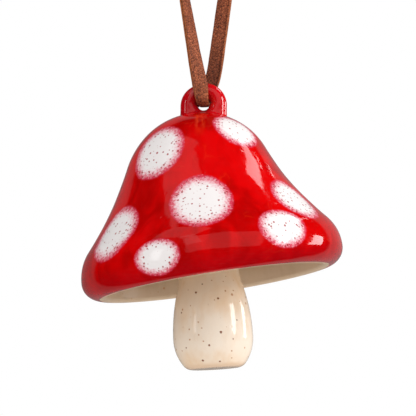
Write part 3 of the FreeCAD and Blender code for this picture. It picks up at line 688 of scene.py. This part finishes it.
def strap(name, path, widths, ways, thickness, closed=False, cut=0.0):
    """A flat lace along a path, with a width and a way across at each point and domed faces."""
    half = thickness / 2
    corner = 0.32 * thickness
    # Side, place across, place out and face of each point of the section. A known fault: every corner
    # runs from side to face, so at two of the four the outline crosses itself. Along two edges of the
    # lace that leaves a groove 0.3 mm deep, and beside it a lip whose faces point inwards.
    section = []
    for side, face in ((1, -1), (1, 1), (-1, 1), (-1, -1)):
        for turn in (0, 1, 2, 3):
            lean = math.radians(30 * turn)
            section.append((side, side * math.cos(lean), face * math.sin(lean), face))
        if side == face:
            section += [(0, side * share, face, face) for share in (0.55, 0.0, -0.55)]
    rough, lump_size = 0.05 * MM, 2.4 * MM
    points, hide, walked = [], [], 0.0
    count = len(section)
    for number, middle in enumerate(path):
        after = path[(number + 1) % len(path)] if closed else path[min(number + 1, len(path) - 1)]
        before = path[number - 1] if closed or number else path[0]
        run = (after - before).normalized()
        way = (ways[number] - run * run.dot(ways[number])).normalized()
        normal = run.cross(way)
        if number:
            walked += (middle - path[number - 1]).length
        reach = widths[number] / 2
        for side, across, out, face in section:
            if side:
                sideways = side * (reach - corner) + across * corner
                height = face * (half - corner) + out * corner
            else:
                sideways = across * (reach - corner)
                height = face * (half + 0.05 * thickness * (1 - across * across))
            grain = rough * noise.noise(Vector((walked, sideways, 9 * face * MM)) / lump_size)
            shear = run * (cut * sideways) if number in (0, len(path) - 1) else Vector()
            points.append(middle + way * (sideways + grain) + normal * height + shear)
            hide.append((walked / MM, sideways / MM, 1.0 if side and abs(across) > 0.6 else 0.0))
    mesh = made(name, points, swept_faces(len(path), count, closed))
    set_vectors(mesh, "hide", hide)
    face_outward(mesh)
    return mesh


def follow(table, height):
    """A value of a table at a height in millimetres, on straight lines between its rows."""
    levels, values = zip(*table)
    return float(np.interp(height, levels, values))


class OBJECT_OT_lace_knot(bpy.types.Operator):
    """Build the pulled overhand knot and the two short ends above it"""
    bl_idname = "object.lace_knot"
    bl_label = "Knot and ends"

    def execute(self, context):
        lace = context.scene.mushroom_lace
        leather = leather_material(lace)
        low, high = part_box("lace_knot")
        centre, half = (low + high) / 2, (high - low) / 2
        reach, lump_size = half - Vector((1.35, 1.30, 1.75)) * MM, 2 * MM
        path, ways = [], []
        for turn in np.linspace(0, 2 * math.tau, 220, endpoint=False):
            weave, lift = 0.62 * MM * math.cos(1.5 * turn), math.sin(1.5 * turn)
            spot = Vector(((reach.x + weave) * math.cos(turn), (reach.y + weave) * math.sin(turn),
                           reach.z * lift))
            spot *= 1 + 0.05 * noise.noise(spot / lump_size)
            path.append(centre + spot)
            ways.append(Vector([spot[axis] / half[axis] ** 2 for axis in (0, 1, 2)]).normalized())
        runs = [path[(n + 1) % len(path)] - path[n - 1] for n in range(len(path))]
        ways = [normal.cross(run.normalized()) for normal, run in zip(ways, runs)]
        mesh = strap("knot_bands", path, [lace.band] * len(path), ways, 0.95 * lace.thickness, closed=True)
        mesh.materials.append(leather)
        knot = new_piece("lace_knot_bands", mesh, "lace")
        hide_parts("lace_knot")

        for side, node in ((-1, "lace_front_tail"), (1, "lace_back_tail")):
            route = [(side * 1.5, 0.15 * side, 3.4), (side * 1.7, 0.2 * side, 6.6),
                     (side * 3.0, 0.1 * side, 9.6), (side * 5.7, 0, 11.1), (side * 10.0, -0.1 * side, 11.2)]
            line = spline_points(node + "_line", route, 10)
            across = Vector((0.10 * side, 1, 0))
            mesh = strap(node + "_hide", line, [0.96 * lace.width] * len(line), [across] * len(line),
                         lace.thickness, cut=0.35 * side)
            mesh.materials.append(leather)
            tail = new_piece(node + "_end", mesh, "lace")
            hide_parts(node)
        return {"FINISHED"}


class OBJECT_OT_leather_lace(bpy.types.Operator):
    """Build the lace from the knot, through the ring and back to the knot"""
    bl_idname = "object.leather_lace"
    bl_label = "Lace"

    def execute(self, context):
        lace = context.scene.mushroom_lace
        route = FRONT_ROUTE + BACK_ROUTE[::-1]
        path = spline_points("lace_line", route, 22)
        widths, ways = [], []
        in_plane = 0.3 * MM
        for point in path:
            height = point.z / MM
            front = point.y < 0 or (point.y < in_plane and point.x < 0)
            turn = math.radians(follow(FRONT_TURN if front else BACK_TURN, height))
            ways.append(Vector((math.cos(turn), math.sin(turn), 0)))
            widths.append(lace.waist + (lace.width - lace.waist) * follow(PINCH, height))
        mesh = strap("lace_hide", path, widths, ways, lace.thickness)
        mesh.materials.append(leather_material(lace))
        piece = new_piece("leather_lace", mesh)
        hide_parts("lace_front_strand", "lace_back_strand", "lace_bight")
        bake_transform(piece)
        return {"FINISHED"}


# Materials


class Graph:
    """Places nodes in one tree and joins them."""

    def __init__(self, tree):
        self.tree = tree

    def add(self, kind, **settings):
        """A new node with plain settings."""
        node = self.tree.nodes.new(kind)
        for name, value in settings.items():
            setattr(node, name, value)
        return node

    def feed(self, socket, value):
        """Join a socket to another, or give it a plain value or a colour of three numbers."""
        if isinstance(value, bpy.types.NodeSocket):
            self.tree.links.new(value, socket)
        elif socket.type == "RGBA":
            socket.default_value = (*value, 1.0)
        else:
            socket.default_value = value

    def math(self, operation, *values, clamp=False):
        """One step of arithmetic."""
        node = self.add("ShaderNodeMath", operation=operation, use_clamp=clamp)
        for socket, value in zip(node.inputs, values):
            self.feed(socket, value)
        return node.outputs[0]

    def plus(self, first, second, clamp=False):
        """A sum."""
        return self.math("ADD", first, second, clamp=clamp)

    def minus(self, first, second):
        """A difference."""
        return self.math("SUBTRACT", first, second)

    def times(self, first, second):
        """A product."""
        return self.math("MULTIPLY", first, second)

    def vector(self, operation, *values):
        """One step of vector arithmetic whose result is a vector."""
        node = self.add("ShaderNodeVectorMath", operation=operation)
        for socket, value in zip(node.inputs, values):
            self.feed(socket, value)
        return node.outputs["Vector"]

    def scaled(self, vector, factor):
        """A vector times a number."""
        node = self.add("ShaderNodeVectorMath", operation="SCALE")
        self.feed(node.inputs[0], vector)
        self.feed(node.inputs["Scale"], factor)
        return node.outputs[0]

    def ease(self, value, low, high, start=0.0, end=1.0):
        """A smooth step of a value between two limits."""
        node = self.add("ShaderNodeMapRange", interpolation_type="SMOOTHSTEP")
        for socket, number in zip(node.inputs, (value, low, high, start, end)):
            self.feed(socket, number)
        return node.outputs[0]

    def mix(self, share, first, second, kind="RGBA"):
        """Two colours, or with the kind FLOAT two numbers, by a share of the second."""
        node = self.add("ShaderNodeMix", data_type=kind)
        places = (0, 6, 7) if kind == "RGBA" else (0, 2, 3)
        for place, value in zip(places, (share, first, second)):
            self.feed(node.inputs[place], value)
        return node.outputs[2 if kind == "RGBA" else 0]

    def noise(self, vector, scale, detail=3.0, roughness=0.5, distortion=0.0, output="Fac"):
        """Cloudy noise from nought to one."""
        node = self.add("ShaderNodeTexNoise")
        for name, value in (("Vector", vector), ("Scale", scale), ("Detail", detail),
                            ("Roughness", roughness), ("Distortion", distortion)):
            self.feed(node.inputs[name], value)
        return node.outputs[output]

    def cells(self, vector, scale, feature="F1", output="Distance"):
        """Scattered cells: the distance to their middles, or another of their values."""
        node = self.add("ShaderNodeTexVoronoi", feature=feature)
        self.feed(node.inputs["Vector"], vector)
        self.feed(node.inputs["Scale"], scale)
        return node.outputs[output]

    def split(self, vector):
        """The three numbers of a vector."""
        node = self.add("ShaderNodeSeparateXYZ")
        self.feed(node.inputs[0], vector)
        return node.outputs

    def combine(self, *values):
        """A vector of three numbers."""
        node = self.add("ShaderNodeCombineXYZ")
        for socket, value in zip(node.inputs, values):
            self.feed(socket, value)
        return node.outputs[0]

    def kept(self, name):
        """The vector that the mesh keeps under a name."""
        return self.add("ShaderNodeAttribute", attribute_name=name).outputs["Vector"]

    def place(self):
        """The place on the piece, in metres."""
        return self.add("ShaderNodeTexCoord").outputs["Object"]

    def group(self, tree, **values):
        """A shared effect with its values."""
        node = self.add("ShaderNodeGroup")
        node.node_tree = tree
        for name, value in values.items():
            self.feed(node.inputs[name], value)
        return node.outputs

    def bump(self, height, distance, strength):
        """A normal from a height."""
        node = self.add("ShaderNodeBump")
        for name, value in (("Height", height), ("Distance", distance), ("Strength", strength)):
            self.feed(node.inputs[name], value)
        return node.outputs[0]


def shared_effect(name, inputs, outputs, build):
    """A node group with named sockets, built once."""
    tree = bpy.data.node_groups.get(name)
    if tree:
        return tree
    tree = bpy.data.node_groups.new(name, "ShaderNodeTree")
    kinds = {"colour": "NodeSocketColor", "value": "NodeSocketFloat", "vector": "NodeSocketVector"}
    for way, sockets in (("INPUT", inputs), ("OUTPUT", outputs)):
        for label, kind in sockets:
            tree.interface.new_socket(label, in_out=way, socket_type=kinds[kind])
    graph = Graph(tree)
    results = build(graph, graph.add("NodeGroupInput").outputs)
    end = graph.add("NodeGroupOutput")
    for socket, value in zip(end.inputs, results):
        graph.feed(socket, value)
    return tree


def specks_effect():
    """Scattered specks: places, cell scale, radius in cells and the share of cells that hold one."""
    def build(graph, given):
        shift = graph.noise(given["Place"], 2200.0, 1.0, output="Color")
        warped = graph.vector("ADD", given["Place"], graph.scaled(shift, 0.00018))
        distance = graph.cells(warped, given["Scale"])
        chance = graph.split(graph.cells(warped, given["Scale"], output="Color"))
        size = graph.times(given["Radius"], graph.plus(0.55, chance[1]))
        speck = graph.minus(1.0, graph.ease(distance, graph.times(size, 0.55), size))
        return [graph.times(speck, graph.math("LESS_THAN", chance[0], given["Share"]))]
    inputs = ("Place", "vector"), ("Scale", "value"), ("Radius", "value"), ("Share", "value")
    return shared_effect("Fired specks", inputs, (("Mask", "value"),), build)


def red_effect():
    """Brushed red glaze: thick and thin patches, brush lines and fine orange cracks of thin glaze."""
    def build(graph, given):
        place = given["Place"]
        patches = graph.noise(place, 62.0, 3.0, 0.5, 0.6)
        strokes = graph.noise(graph.vector("MULTIPLY", place, (1.0, 1.0, 0.45)), 240.0, 3.0, 0.55, 0.6)
        thin = graph.plus(graph.times(patches, 0.65), graph.times(strokes, 0.35))
        base = graph.mix(graph.ease(thin, 0.37, 0.62), given["Deep"], given["Bright"])
        shift = graph.noise(place, 260.0, 3.0, output="Color")
        net = graph.cells(graph.vector("ADD", place, graph.scaled(shift, 0.0035)), 130.0, "DISTANCE_TO_EDGE")
        line = graph.minus(1.0, graph.ease(net, 0.0, 0.03))
        patchy = graph.ease(graph.noise(place, 190.0, 2.0), 0.52, 0.68)
        tinted = graph.mix(graph.times(graph.times(line, patchy), 0.16), base, given["Orange"])
        runs = graph.noise(graph.vector("MULTIPLY", place, (1.0, 0.22, 0.22)), 800.0, 2.0, 0.5)
        bare = graph.times(given["Bare"], graph.ease(runs, 0.40, 0.62))
        return [graph.mix(bare, tinted, given["Orange"])]
    inputs = (("Place", "vector"), ("Deep", "colour"), ("Bright", "colour"), ("Orange", "colour"),
              ("Bare", "value"))
    return shared_effect("Brushed red glaze", inputs, (("Colour", "colour"),), build)


def gloss_effect():
    """Fired gloss: slow waves of the glaze and small dimples, as a height and a roughness."""
    def build(graph, given):
        waves = graph.noise(given["Place"], 120.0, 1.0, 0.4)
        dimples = graph.noise(given["Place"], 620.0, 2.0, 0.5)
        pinhole = graph.minus(1.0, graph.ease(graph.cells(given["Place"], 260.0), 0.03, 0.13))
        height = graph.plus(graph.times(waves, 0.7), graph.times(dimples, 0.13))
        return [graph.minus(height, graph.times(pinhole, 0.22)), graph.ease(dimples, 0.3, 0.75, 0.05, 0.11)]
    outputs = ("Height", "value"), ("Roughness", "value")
    return shared_effect("Fired gloss", (("Place", "vector"),), outputs, build)


def leather_effect():
    """Leather grain: pores, creases and rubbed flecks, from places along the lace in millimetres."""
    def build(graph, given):
        place = given["Place"]
        shift = graph.noise(place, 1.6, 2.0, output="Color")
        pores = graph.cells(graph.vector("ADD", place, graph.scaled(shift, 0.5)), 1.55, "DISTANCE_TO_EDGE")
        crease = graph.minus(1.0, graph.ease(pores, 0.0, 0.14))
        tone = graph.noise(graph.vector("MULTIPLY", place, (0.35, 1.0, 1.0)), 0.7, 3.0, 0.6)
        fine = graph.noise(place, 3.4, 4.0, 0.7)
        fleck = graph.ease(graph.noise(place, 2.1, 3.0, 0.75, 0.6), 0.55, 0.66)
        elsewhere = graph.vector("ADD", place, (31.0, 7.0, 3.0))
        pit = graph.ease(graph.noise(elsewhere, 1.9, 3.0, 0.75, 0.5), 0.52, 0.64)
        deeper = graph.mix(0.35, given["Grain"], given["Dark"])
        shade = graph.mix(graph.ease(tone, 0.3, 0.72), given["Grain"], deeper)
        shade = graph.mix(graph.times(pit, 0.85), shade, given["Dark"])
        shade = graph.mix(graph.times(fleck, 0.60), shade, given["Fleck"])
        shade = graph.mix(graph.times(crease, 0.50), shade, given["Dark"])
        return [shade, graph.minus(fine, graph.times(crease, 0.6))]
    inputs = ("Place", "vector"), ("Grain", "colour"), ("Dark", "colour"), ("Fleck", "colour")
    outputs = ("Colour", "colour"), ("Height", "value")
    return shared_effect("Leather grain", inputs, outputs, build)


def new_material(name):
    """An empty material with its Principled shader."""
    material = bpy.data.materials.new(name)
    material.use_nodes = True
    graph = Graph(material.node_tree)
    return material, graph, material.node_tree.nodes["Principled BSDF"]


def fired(graph, shader, skin, place, distance, strength, dull=0.0):
    """Give a shader its colour and the fired gloss over it."""
    gloss = graph.group(gloss_effect(), Place=place)
    graph.feed(shader.inputs["Base Color"], skin)
    graph.feed(shader.inputs["Roughness"], graph.plus(gloss[1], dull))
    graph.feed(shader.inputs["Normal"], graph.bump(gloss[0], distance, strength))


def spotted_glaze(cap):
    """Glossy red with white spots whose edges bleed pink, and painted shade on the underside of the lip."""
    material, graph, shader = new_material("red_glaze_white_spots")
    place = graph.place()
    sideways, level = graph.split(place)[0], graph.split(place)[2]
    streak = graph.times(graph.ease(sideways, -0.0026, -0.0014), graph.ease(sideways, 0.0008, -0.0002))
    under_ring = graph.times(graph.ease(level, -0.0620, -0.0555), streak)
    red = graph.group(red_effect(), Place=place, Deep=cap.deep_red, Bright=cap.bright_red,
                      Orange=cap.orange, Bare=graph.times(under_ring, 0.42))
    # Painted shade: the lip's underside is darkened towards a deeper red, where less light comes from below.
    lip_shade = graph.ease(graph.split(graph.kept("level"))[0], 0.0062, 0.0006, 0.0, 0.62)
    glaze = graph.mix(lip_shade, red[0], cap.lip_shade_red)
    far = graph.split(graph.kept("spot"))[2]
    cloud = graph.minus(graph.noise(place, 520.0, 3.0, 0.6), 0.5)
    grit = graph.minus(graph.noise(place, 1700.0, 3.0, 0.75), 0.5)
    bleed = graph.plus(far, graph.plus(graph.times(cloud, 0.17), graph.times(grit, 0.60)))
    paint = graph.mix(graph.ease(bleed, 0.60, 0.88), cap.white, cap.blush)
    paint = graph.mix(graph.ease(bleed, 0.76, 1.00), paint, cap.rim)
    border = graph.plus(far, graph.plus(graph.times(cloud, 0.08), graph.times(grit, 0.07)))
    cover = graph.minus(1.0, graph.ease(border, 0.96, 1.05))
    inside = graph.minus(1.0, graph.ease(far, 0.93, 1.02))
    share = graph.ease(far, 0.35, 0.80, 0.50, 1.00)
    speck = graph.group(specks_effect(), Place=place, Scale=1100.0, Radius=0.28, Share=share)[0]
    paint = graph.mix(graph.times(speck, graph.times(inside, 0.92)), paint, cap.speck)
    fired(graph, shader, graph.mix(cover, glaze, paint), place, 0.00022, 0.55)
    return material


def plain_red_glaze(ring, cap):
    """The same glossy red without spots, with painted shade on the ring's left and painted light on its
    right.
    """
    material, graph, shader = new_material("red_glaze_ring")
    place = graph.place()
    # Painted shade and painted light: by its place across, the red runs from deep on the ring's left to
    # bright on its right, standing in for light that falls from the right.
    thin = graph.ease(graph.split(place)[0], -0.0030, 0.0030, 0.10, 0.95)
    thick = graph.mix(thin, ring.deep_red, graph.mix(0.35, ring.bright_red, ring.deep_red))
    bright = graph.mix(thin, graph.mix(0.45, ring.deep_red, ring.bright_red), ring.bright_red)
    red = graph.group(red_effect(), Place=place, Deep=thick, Bright=bright, Orange=cap.orange, Bare=0.0)
    fired(graph, shader, red[0], place, 0.00022, 0.40)
    shader.inputs["Specular IOR Level"].default_value = 0.9
    return material


def cream_glaze(name, stem, pale, thick_glaze, dull=0.0, specks=False):
    """Cream glaze over speckled clay, browner where it lies thick and where shade is painted: at the stem's
    top and left, and higher up inside the bell.
    """
    material, graph, shader = new_material(name)
    place = graph.place()
    cloud = graph.noise(place, 120.0, 4.0, 0.6, 0.5)
    drips = graph.noise(graph.vector("MULTIPLY", place, (1.0, 1.0, 0.22)), 520.0, 3.0, 0.6)
    thick = graph.plus(graph.times(cloud, 0.6), graph.times(drips, 0.4))
    foot, level, aside = graph.split(graph.kept("level"))
    if specks:
        # Painted shade: the stem turns browner towards its top, in the cap's shadow, and on its left, away
        # from the light. It also turns warmer towards the foot.
        high = graph.ease(level, -0.014, 0.002, 0.0, 0.40)
        left = graph.ease(aside, 0.002, -0.011, 0.0, 0.12)
        low = graph.ease(foot, 0.0060, 0.0, 0.06, 0.30)
        change = graph.plus(graph.plus(high, left), low)
    else:
        # Painted shade: inside the bell the glaze turns browner higher up, deeper in the bell's shade.
        change = graph.ease(level, 0.0005, 0.0080, 0.0, 0.85)
    warmth = graph.plus(graph.ease(thick, 0.40, 0.72, 0.0, 0.35), change, clamp=True)
    skin = graph.mix(warmth, pale, thick_glaze)
    rust = graph.group(specks_effect(), Place=place, Scale=560.0, Radius=0.17, Share=0.32)[0]
    skin = graph.mix(graph.times(rust, 0.75), skin, stem.rust)
    elsewhere = graph.vector("ADD", place, (0.05, 0.02, 0.07))
    iron = graph.group(specks_effect(), Place=elsewhere, Scale=240.0, Radius=0.05, Share=0.10)[0]
    skin = graph.mix(graph.times(iron, 0.8), skin, stem.iron)
    if specks:
        ragged = graph.times(graph.minus(graph.noise(place, 2600.0), 0.5), 0.5)
        far = graph.split(graph.kept("speck"))
        for index, dark, strength in ((0, stem.iron, 0.95), (1, stem.rust, 0.75)):
            dot = graph.ease(graph.plus(far[index], ragged), 1.35, 0.70, 0.0, strength)
            skin = graph.mix(dot, skin, dark)
        skin = graph.mix(graph.ease(foot, 0.0015, 0.0003, 0.0, 0.90), skin, stem.bare)
    fired(graph, shader, skin, place, 0.00020, 0.5, dull)
    return material


def leather_material(lace):
    """Brown leather: grained faces, burnished lighter edges, and painted shade on the back strand above the
    ring.
    """
    material = bpy.data.materials.get("grained_leather")
    if material:
        return material
    material, graph, shader = new_material("grained_leather")
    along, across, edge = graph.split(graph.kept("hide"))
    grain = graph.group(leather_effect(), Place=graph.combine(along, across, 0.0), Grain=lace.grain,
                        Dark=lace.dark, Fleck=lace.fleck)
    fibres = graph.noise(graph.vector("MULTIPLY", graph.place(), (1.0, 1.0, 0.2)), 4200.0, 2.0, 0.6)
    rim = graph.mix(graph.ease(fibres, 0.35, 0.7), lace.edge, graph.mix(0.5, lace.edge, lace.dark))
    # Painted shade: the back strand is darker just above the ring, where the ring shades it.
    shade_near_ring = graph.times(graph.ease(along, 60.0, 63.0), graph.ease(along, 82.0, 68.0, 0.0, 0.45))
    hide = graph.mix(shade_near_ring, grain[0], lace.dark)
    seam = graph.times(graph.ease(edge, 0.40, 0.62), graph.ease(edge, 0.95, 0.78, 0.0, 0.45))
    skin = graph.mix(seam, graph.mix(graph.ease(edge, 0.62, 0.92), hide, rim), lace.dark)
    graph.feed(shader.inputs["Base Color"], skin)
    graph.feed(shader.inputs["Roughness"], graph.ease(grain[1], 0.2, 0.9, 0.55, 0.75))
    graph.feed(shader.inputs["Normal"], graph.bump(grain[1], 0.00025, 0.8))
    shader.inputs["Specular IOR Level"].default_value = 0.22
    return material


# The stage


# How far the lamps stand from the point that they are aimed at, in metres, and that point.
LAMP_DISTANCE = 1.2
LAMP_AIM = Vector((0, 0, -0.08))


def look_along(direction):
    """A rotation that points a camera or a lamp along a direction."""
    return Vector(direction).to_track_quat("-Z", "Y").to_euler()


def lamp(name, towards, wide, high, radiance, lean=0.0, diffuse=True):
    """A softbox in a direction, its sizes in shares of its distance, leaning to one side in degrees."""
    light = bpy.data.lights.new(name, "AREA")
    light.shape = "RECTANGLE"
    light.size, light.size_y = wide * LAMP_DISTANCE, high * LAMP_DISTANCE
    light.energy = radiance * math.pi * light.size * light.size_y
    way = Vector(towards).normalized()
    thing = placed(name, light)
    thing.location = LAMP_AIM + way * LAMP_DISTANCE
    thing.rotation_euler = look_along(-way)
    thing.rotation_euler.rotate_axis("Z", -math.radians(lean))
    thing.visible_diffuse = diffuse


class OBJECT_OT_ornament_stage(bpy.types.Operator):
    """Set the camera, the pale floor, the softboxes and the white surroundings"""
    bl_idname = "object.ornament_stage"
    bl_label = "Stage"

    def execute(self, context):
        scene = context.scene
        stage = scene.mushroom_stage
        camera = placed("camera", bpy.data.cameras.new("camera"))
        camera.data.lens = stage.lens
        camera.data.clip_start, camera.data.clip_end = 0.05, 20.0
        way = Vector((0, math.cos(stage.rise), math.sin(stage.rise)))
        camera.location = Vector((stage.aim_right, 0, -stage.aim_drop)) - way * stage.distance
        camera.rotation_euler = look_along(way)
        scene.camera = camera
        scene.view_settings.view_transform = "Standard"

        corners = [(x * stage.floor_reach, y * stage.floor_reach, -stage.floor_drop)
                   for x, y in ((-1, -1), (1, -1), (1, 1), (-1, 1))]
        floor = placed("floor", made("floor", corners, [(0, 1, 2, 3)]))
        material, graph, shader = new_material("pale_floor")
        graph.feed(shader.inputs["Base Color"], stage.floor)
        shader.inputs["Roughness"].default_value = 0.9
        floor.data.materials.append(material)
        floor.visible_glossy = False

        lamp("window_right", (0.84, -0.385, 0.33), 0.23, 0.52, 8.2, lean=22)
        lamp("softbox_above_right", (0.58, 0.20, 0.77), 0.24, 0.26, 4.0)
        lamp("gap_near", (0.62, 0.405, 0.68), 0.018, 0.08, 6.0)
        lamp("gap_far", (0.53, 0.585, 0.62), 0.018, 0.08, 5.0)
        lamp("card_above_left", (-0.38, -0.30, 0.80), 0.62, 0.46, 0.40)
        lamp("card_left_of_centre", (-0.33, -0.68, 0.60), 0.24, 0.46, 0.42, lean=-28, diffuse=False)
        lamp("card_in_front", (0.12, -0.84, 0.50), 1.25, 0.72, 0.36, diffuse=False)
        lamp("strip_left", (-0.76, -0.60, 0.22), 0.15, 0.40, 2.6)
        lamp("window_far_right", (0.93, 0.26, 0.15), 0.22, 0.36, 7.0, lean=20)

        world = bpy.data.worlds.new("surroundings")
        scene.world = world
        world.use_nodes = True
        graph = Graph(world.node_tree)
        right, ahead, up = graph.split(graph.add("ShaderNodeTexCoord").outputs["Generated"])
        rays = graph.add("ShaderNodeLightPath").outputs
        soft = graph.plus(graph.plus(0.84, graph.times(right, 0.20)), graph.times(ahead, -0.12))
        soft = graph.math("MAXIMUM", graph.plus(soft, graph.times(up, 0.25)), 0.02)
        backdrop = graph.times(graph.ease(ahead, 0.54, 0.62), graph.ease(right, -0.5, 0.5, 0.15, 0.28))
        mirrored = graph.plus(0.004, backdrop)
        unseen = graph.mix(rays["Is Glossy Ray"], soft, mirrored, "FLOAT")
        seen = graph.math("MAXIMUM", rays["Is Camera Ray"], rays["Is Transmission Ray"])
        background = world.node_tree.nodes["Background"]
        graph.feed(background.inputs["Strength"], graph.mix(seen, unseen, 1.0, "FLOAT"))
        graph.feed(background.inputs["Color"], (1.0, 1.0, 1.0))
        return {"FINISHED"}


SETTINGS = (("mushroom_cap", CapSettings), ("mushroom_stem", StemSettings), ("mushroom_ring", RingSettings),
            ("mushroom_lace", LaceSettings), ("mushroom_stage", StageSettings))
STEPS = (OBJECT_OT_ornament_stage, OBJECT_OT_lace_knot, OBJECT_OT_leather_lace, OBJECT_OT_hanging_ring,
         OBJECT_OT_mushroom_cap, OBJECT_OT_mushroom_stem)


class VIEW3D_PT_ornament(bpy.types.Panel):
    """The ornament's pieces and their settings"""
    bl_label = "Mushroom ornament"
    bl_space_type = "VIEW_3D"
    bl_region_type = "UI"
    bl_category = "Ornament"

    def draw(self, context):
        for step in STEPS:
            self.layout.operator(step.bl_idname)
        for name, group in SETTINGS:
            box = self.layout.box()
            box.label(text=group.__doc__)
            for setting in group.__annotations__:
                box.prop(getattr(context.scene, name), setting)


def register():
    """Make the settings, the steps and the panel known."""
    for name, group in SETTINGS:
        bpy.utils.register_class(group)
        setattr(bpy.types.Scene, name, PointerProperty(type=group))
    for step in STEPS:
        bpy.utils.register_class(step)
    bpy.utils.register_class(VIEW3D_PT_ornament)


def unregister():
    """Take them away again."""
    bpy.utils.unregister_class(VIEW3D_PT_ornament)
    for step in reversed(STEPS):
        bpy.utils.unregister_class(step)
    for name, group in reversed(SETTINGS):
        delattr(bpy.types.Scene, name)
        bpy.utils.unregister_class(group)


def main():
    """Build everything."""
    register()
    for step in STEPS:
        area, action = step.bl_idname.split(".")
        getattr(getattr(bpy.ops, area), action)()


if __name__ == "__main__":
    main()
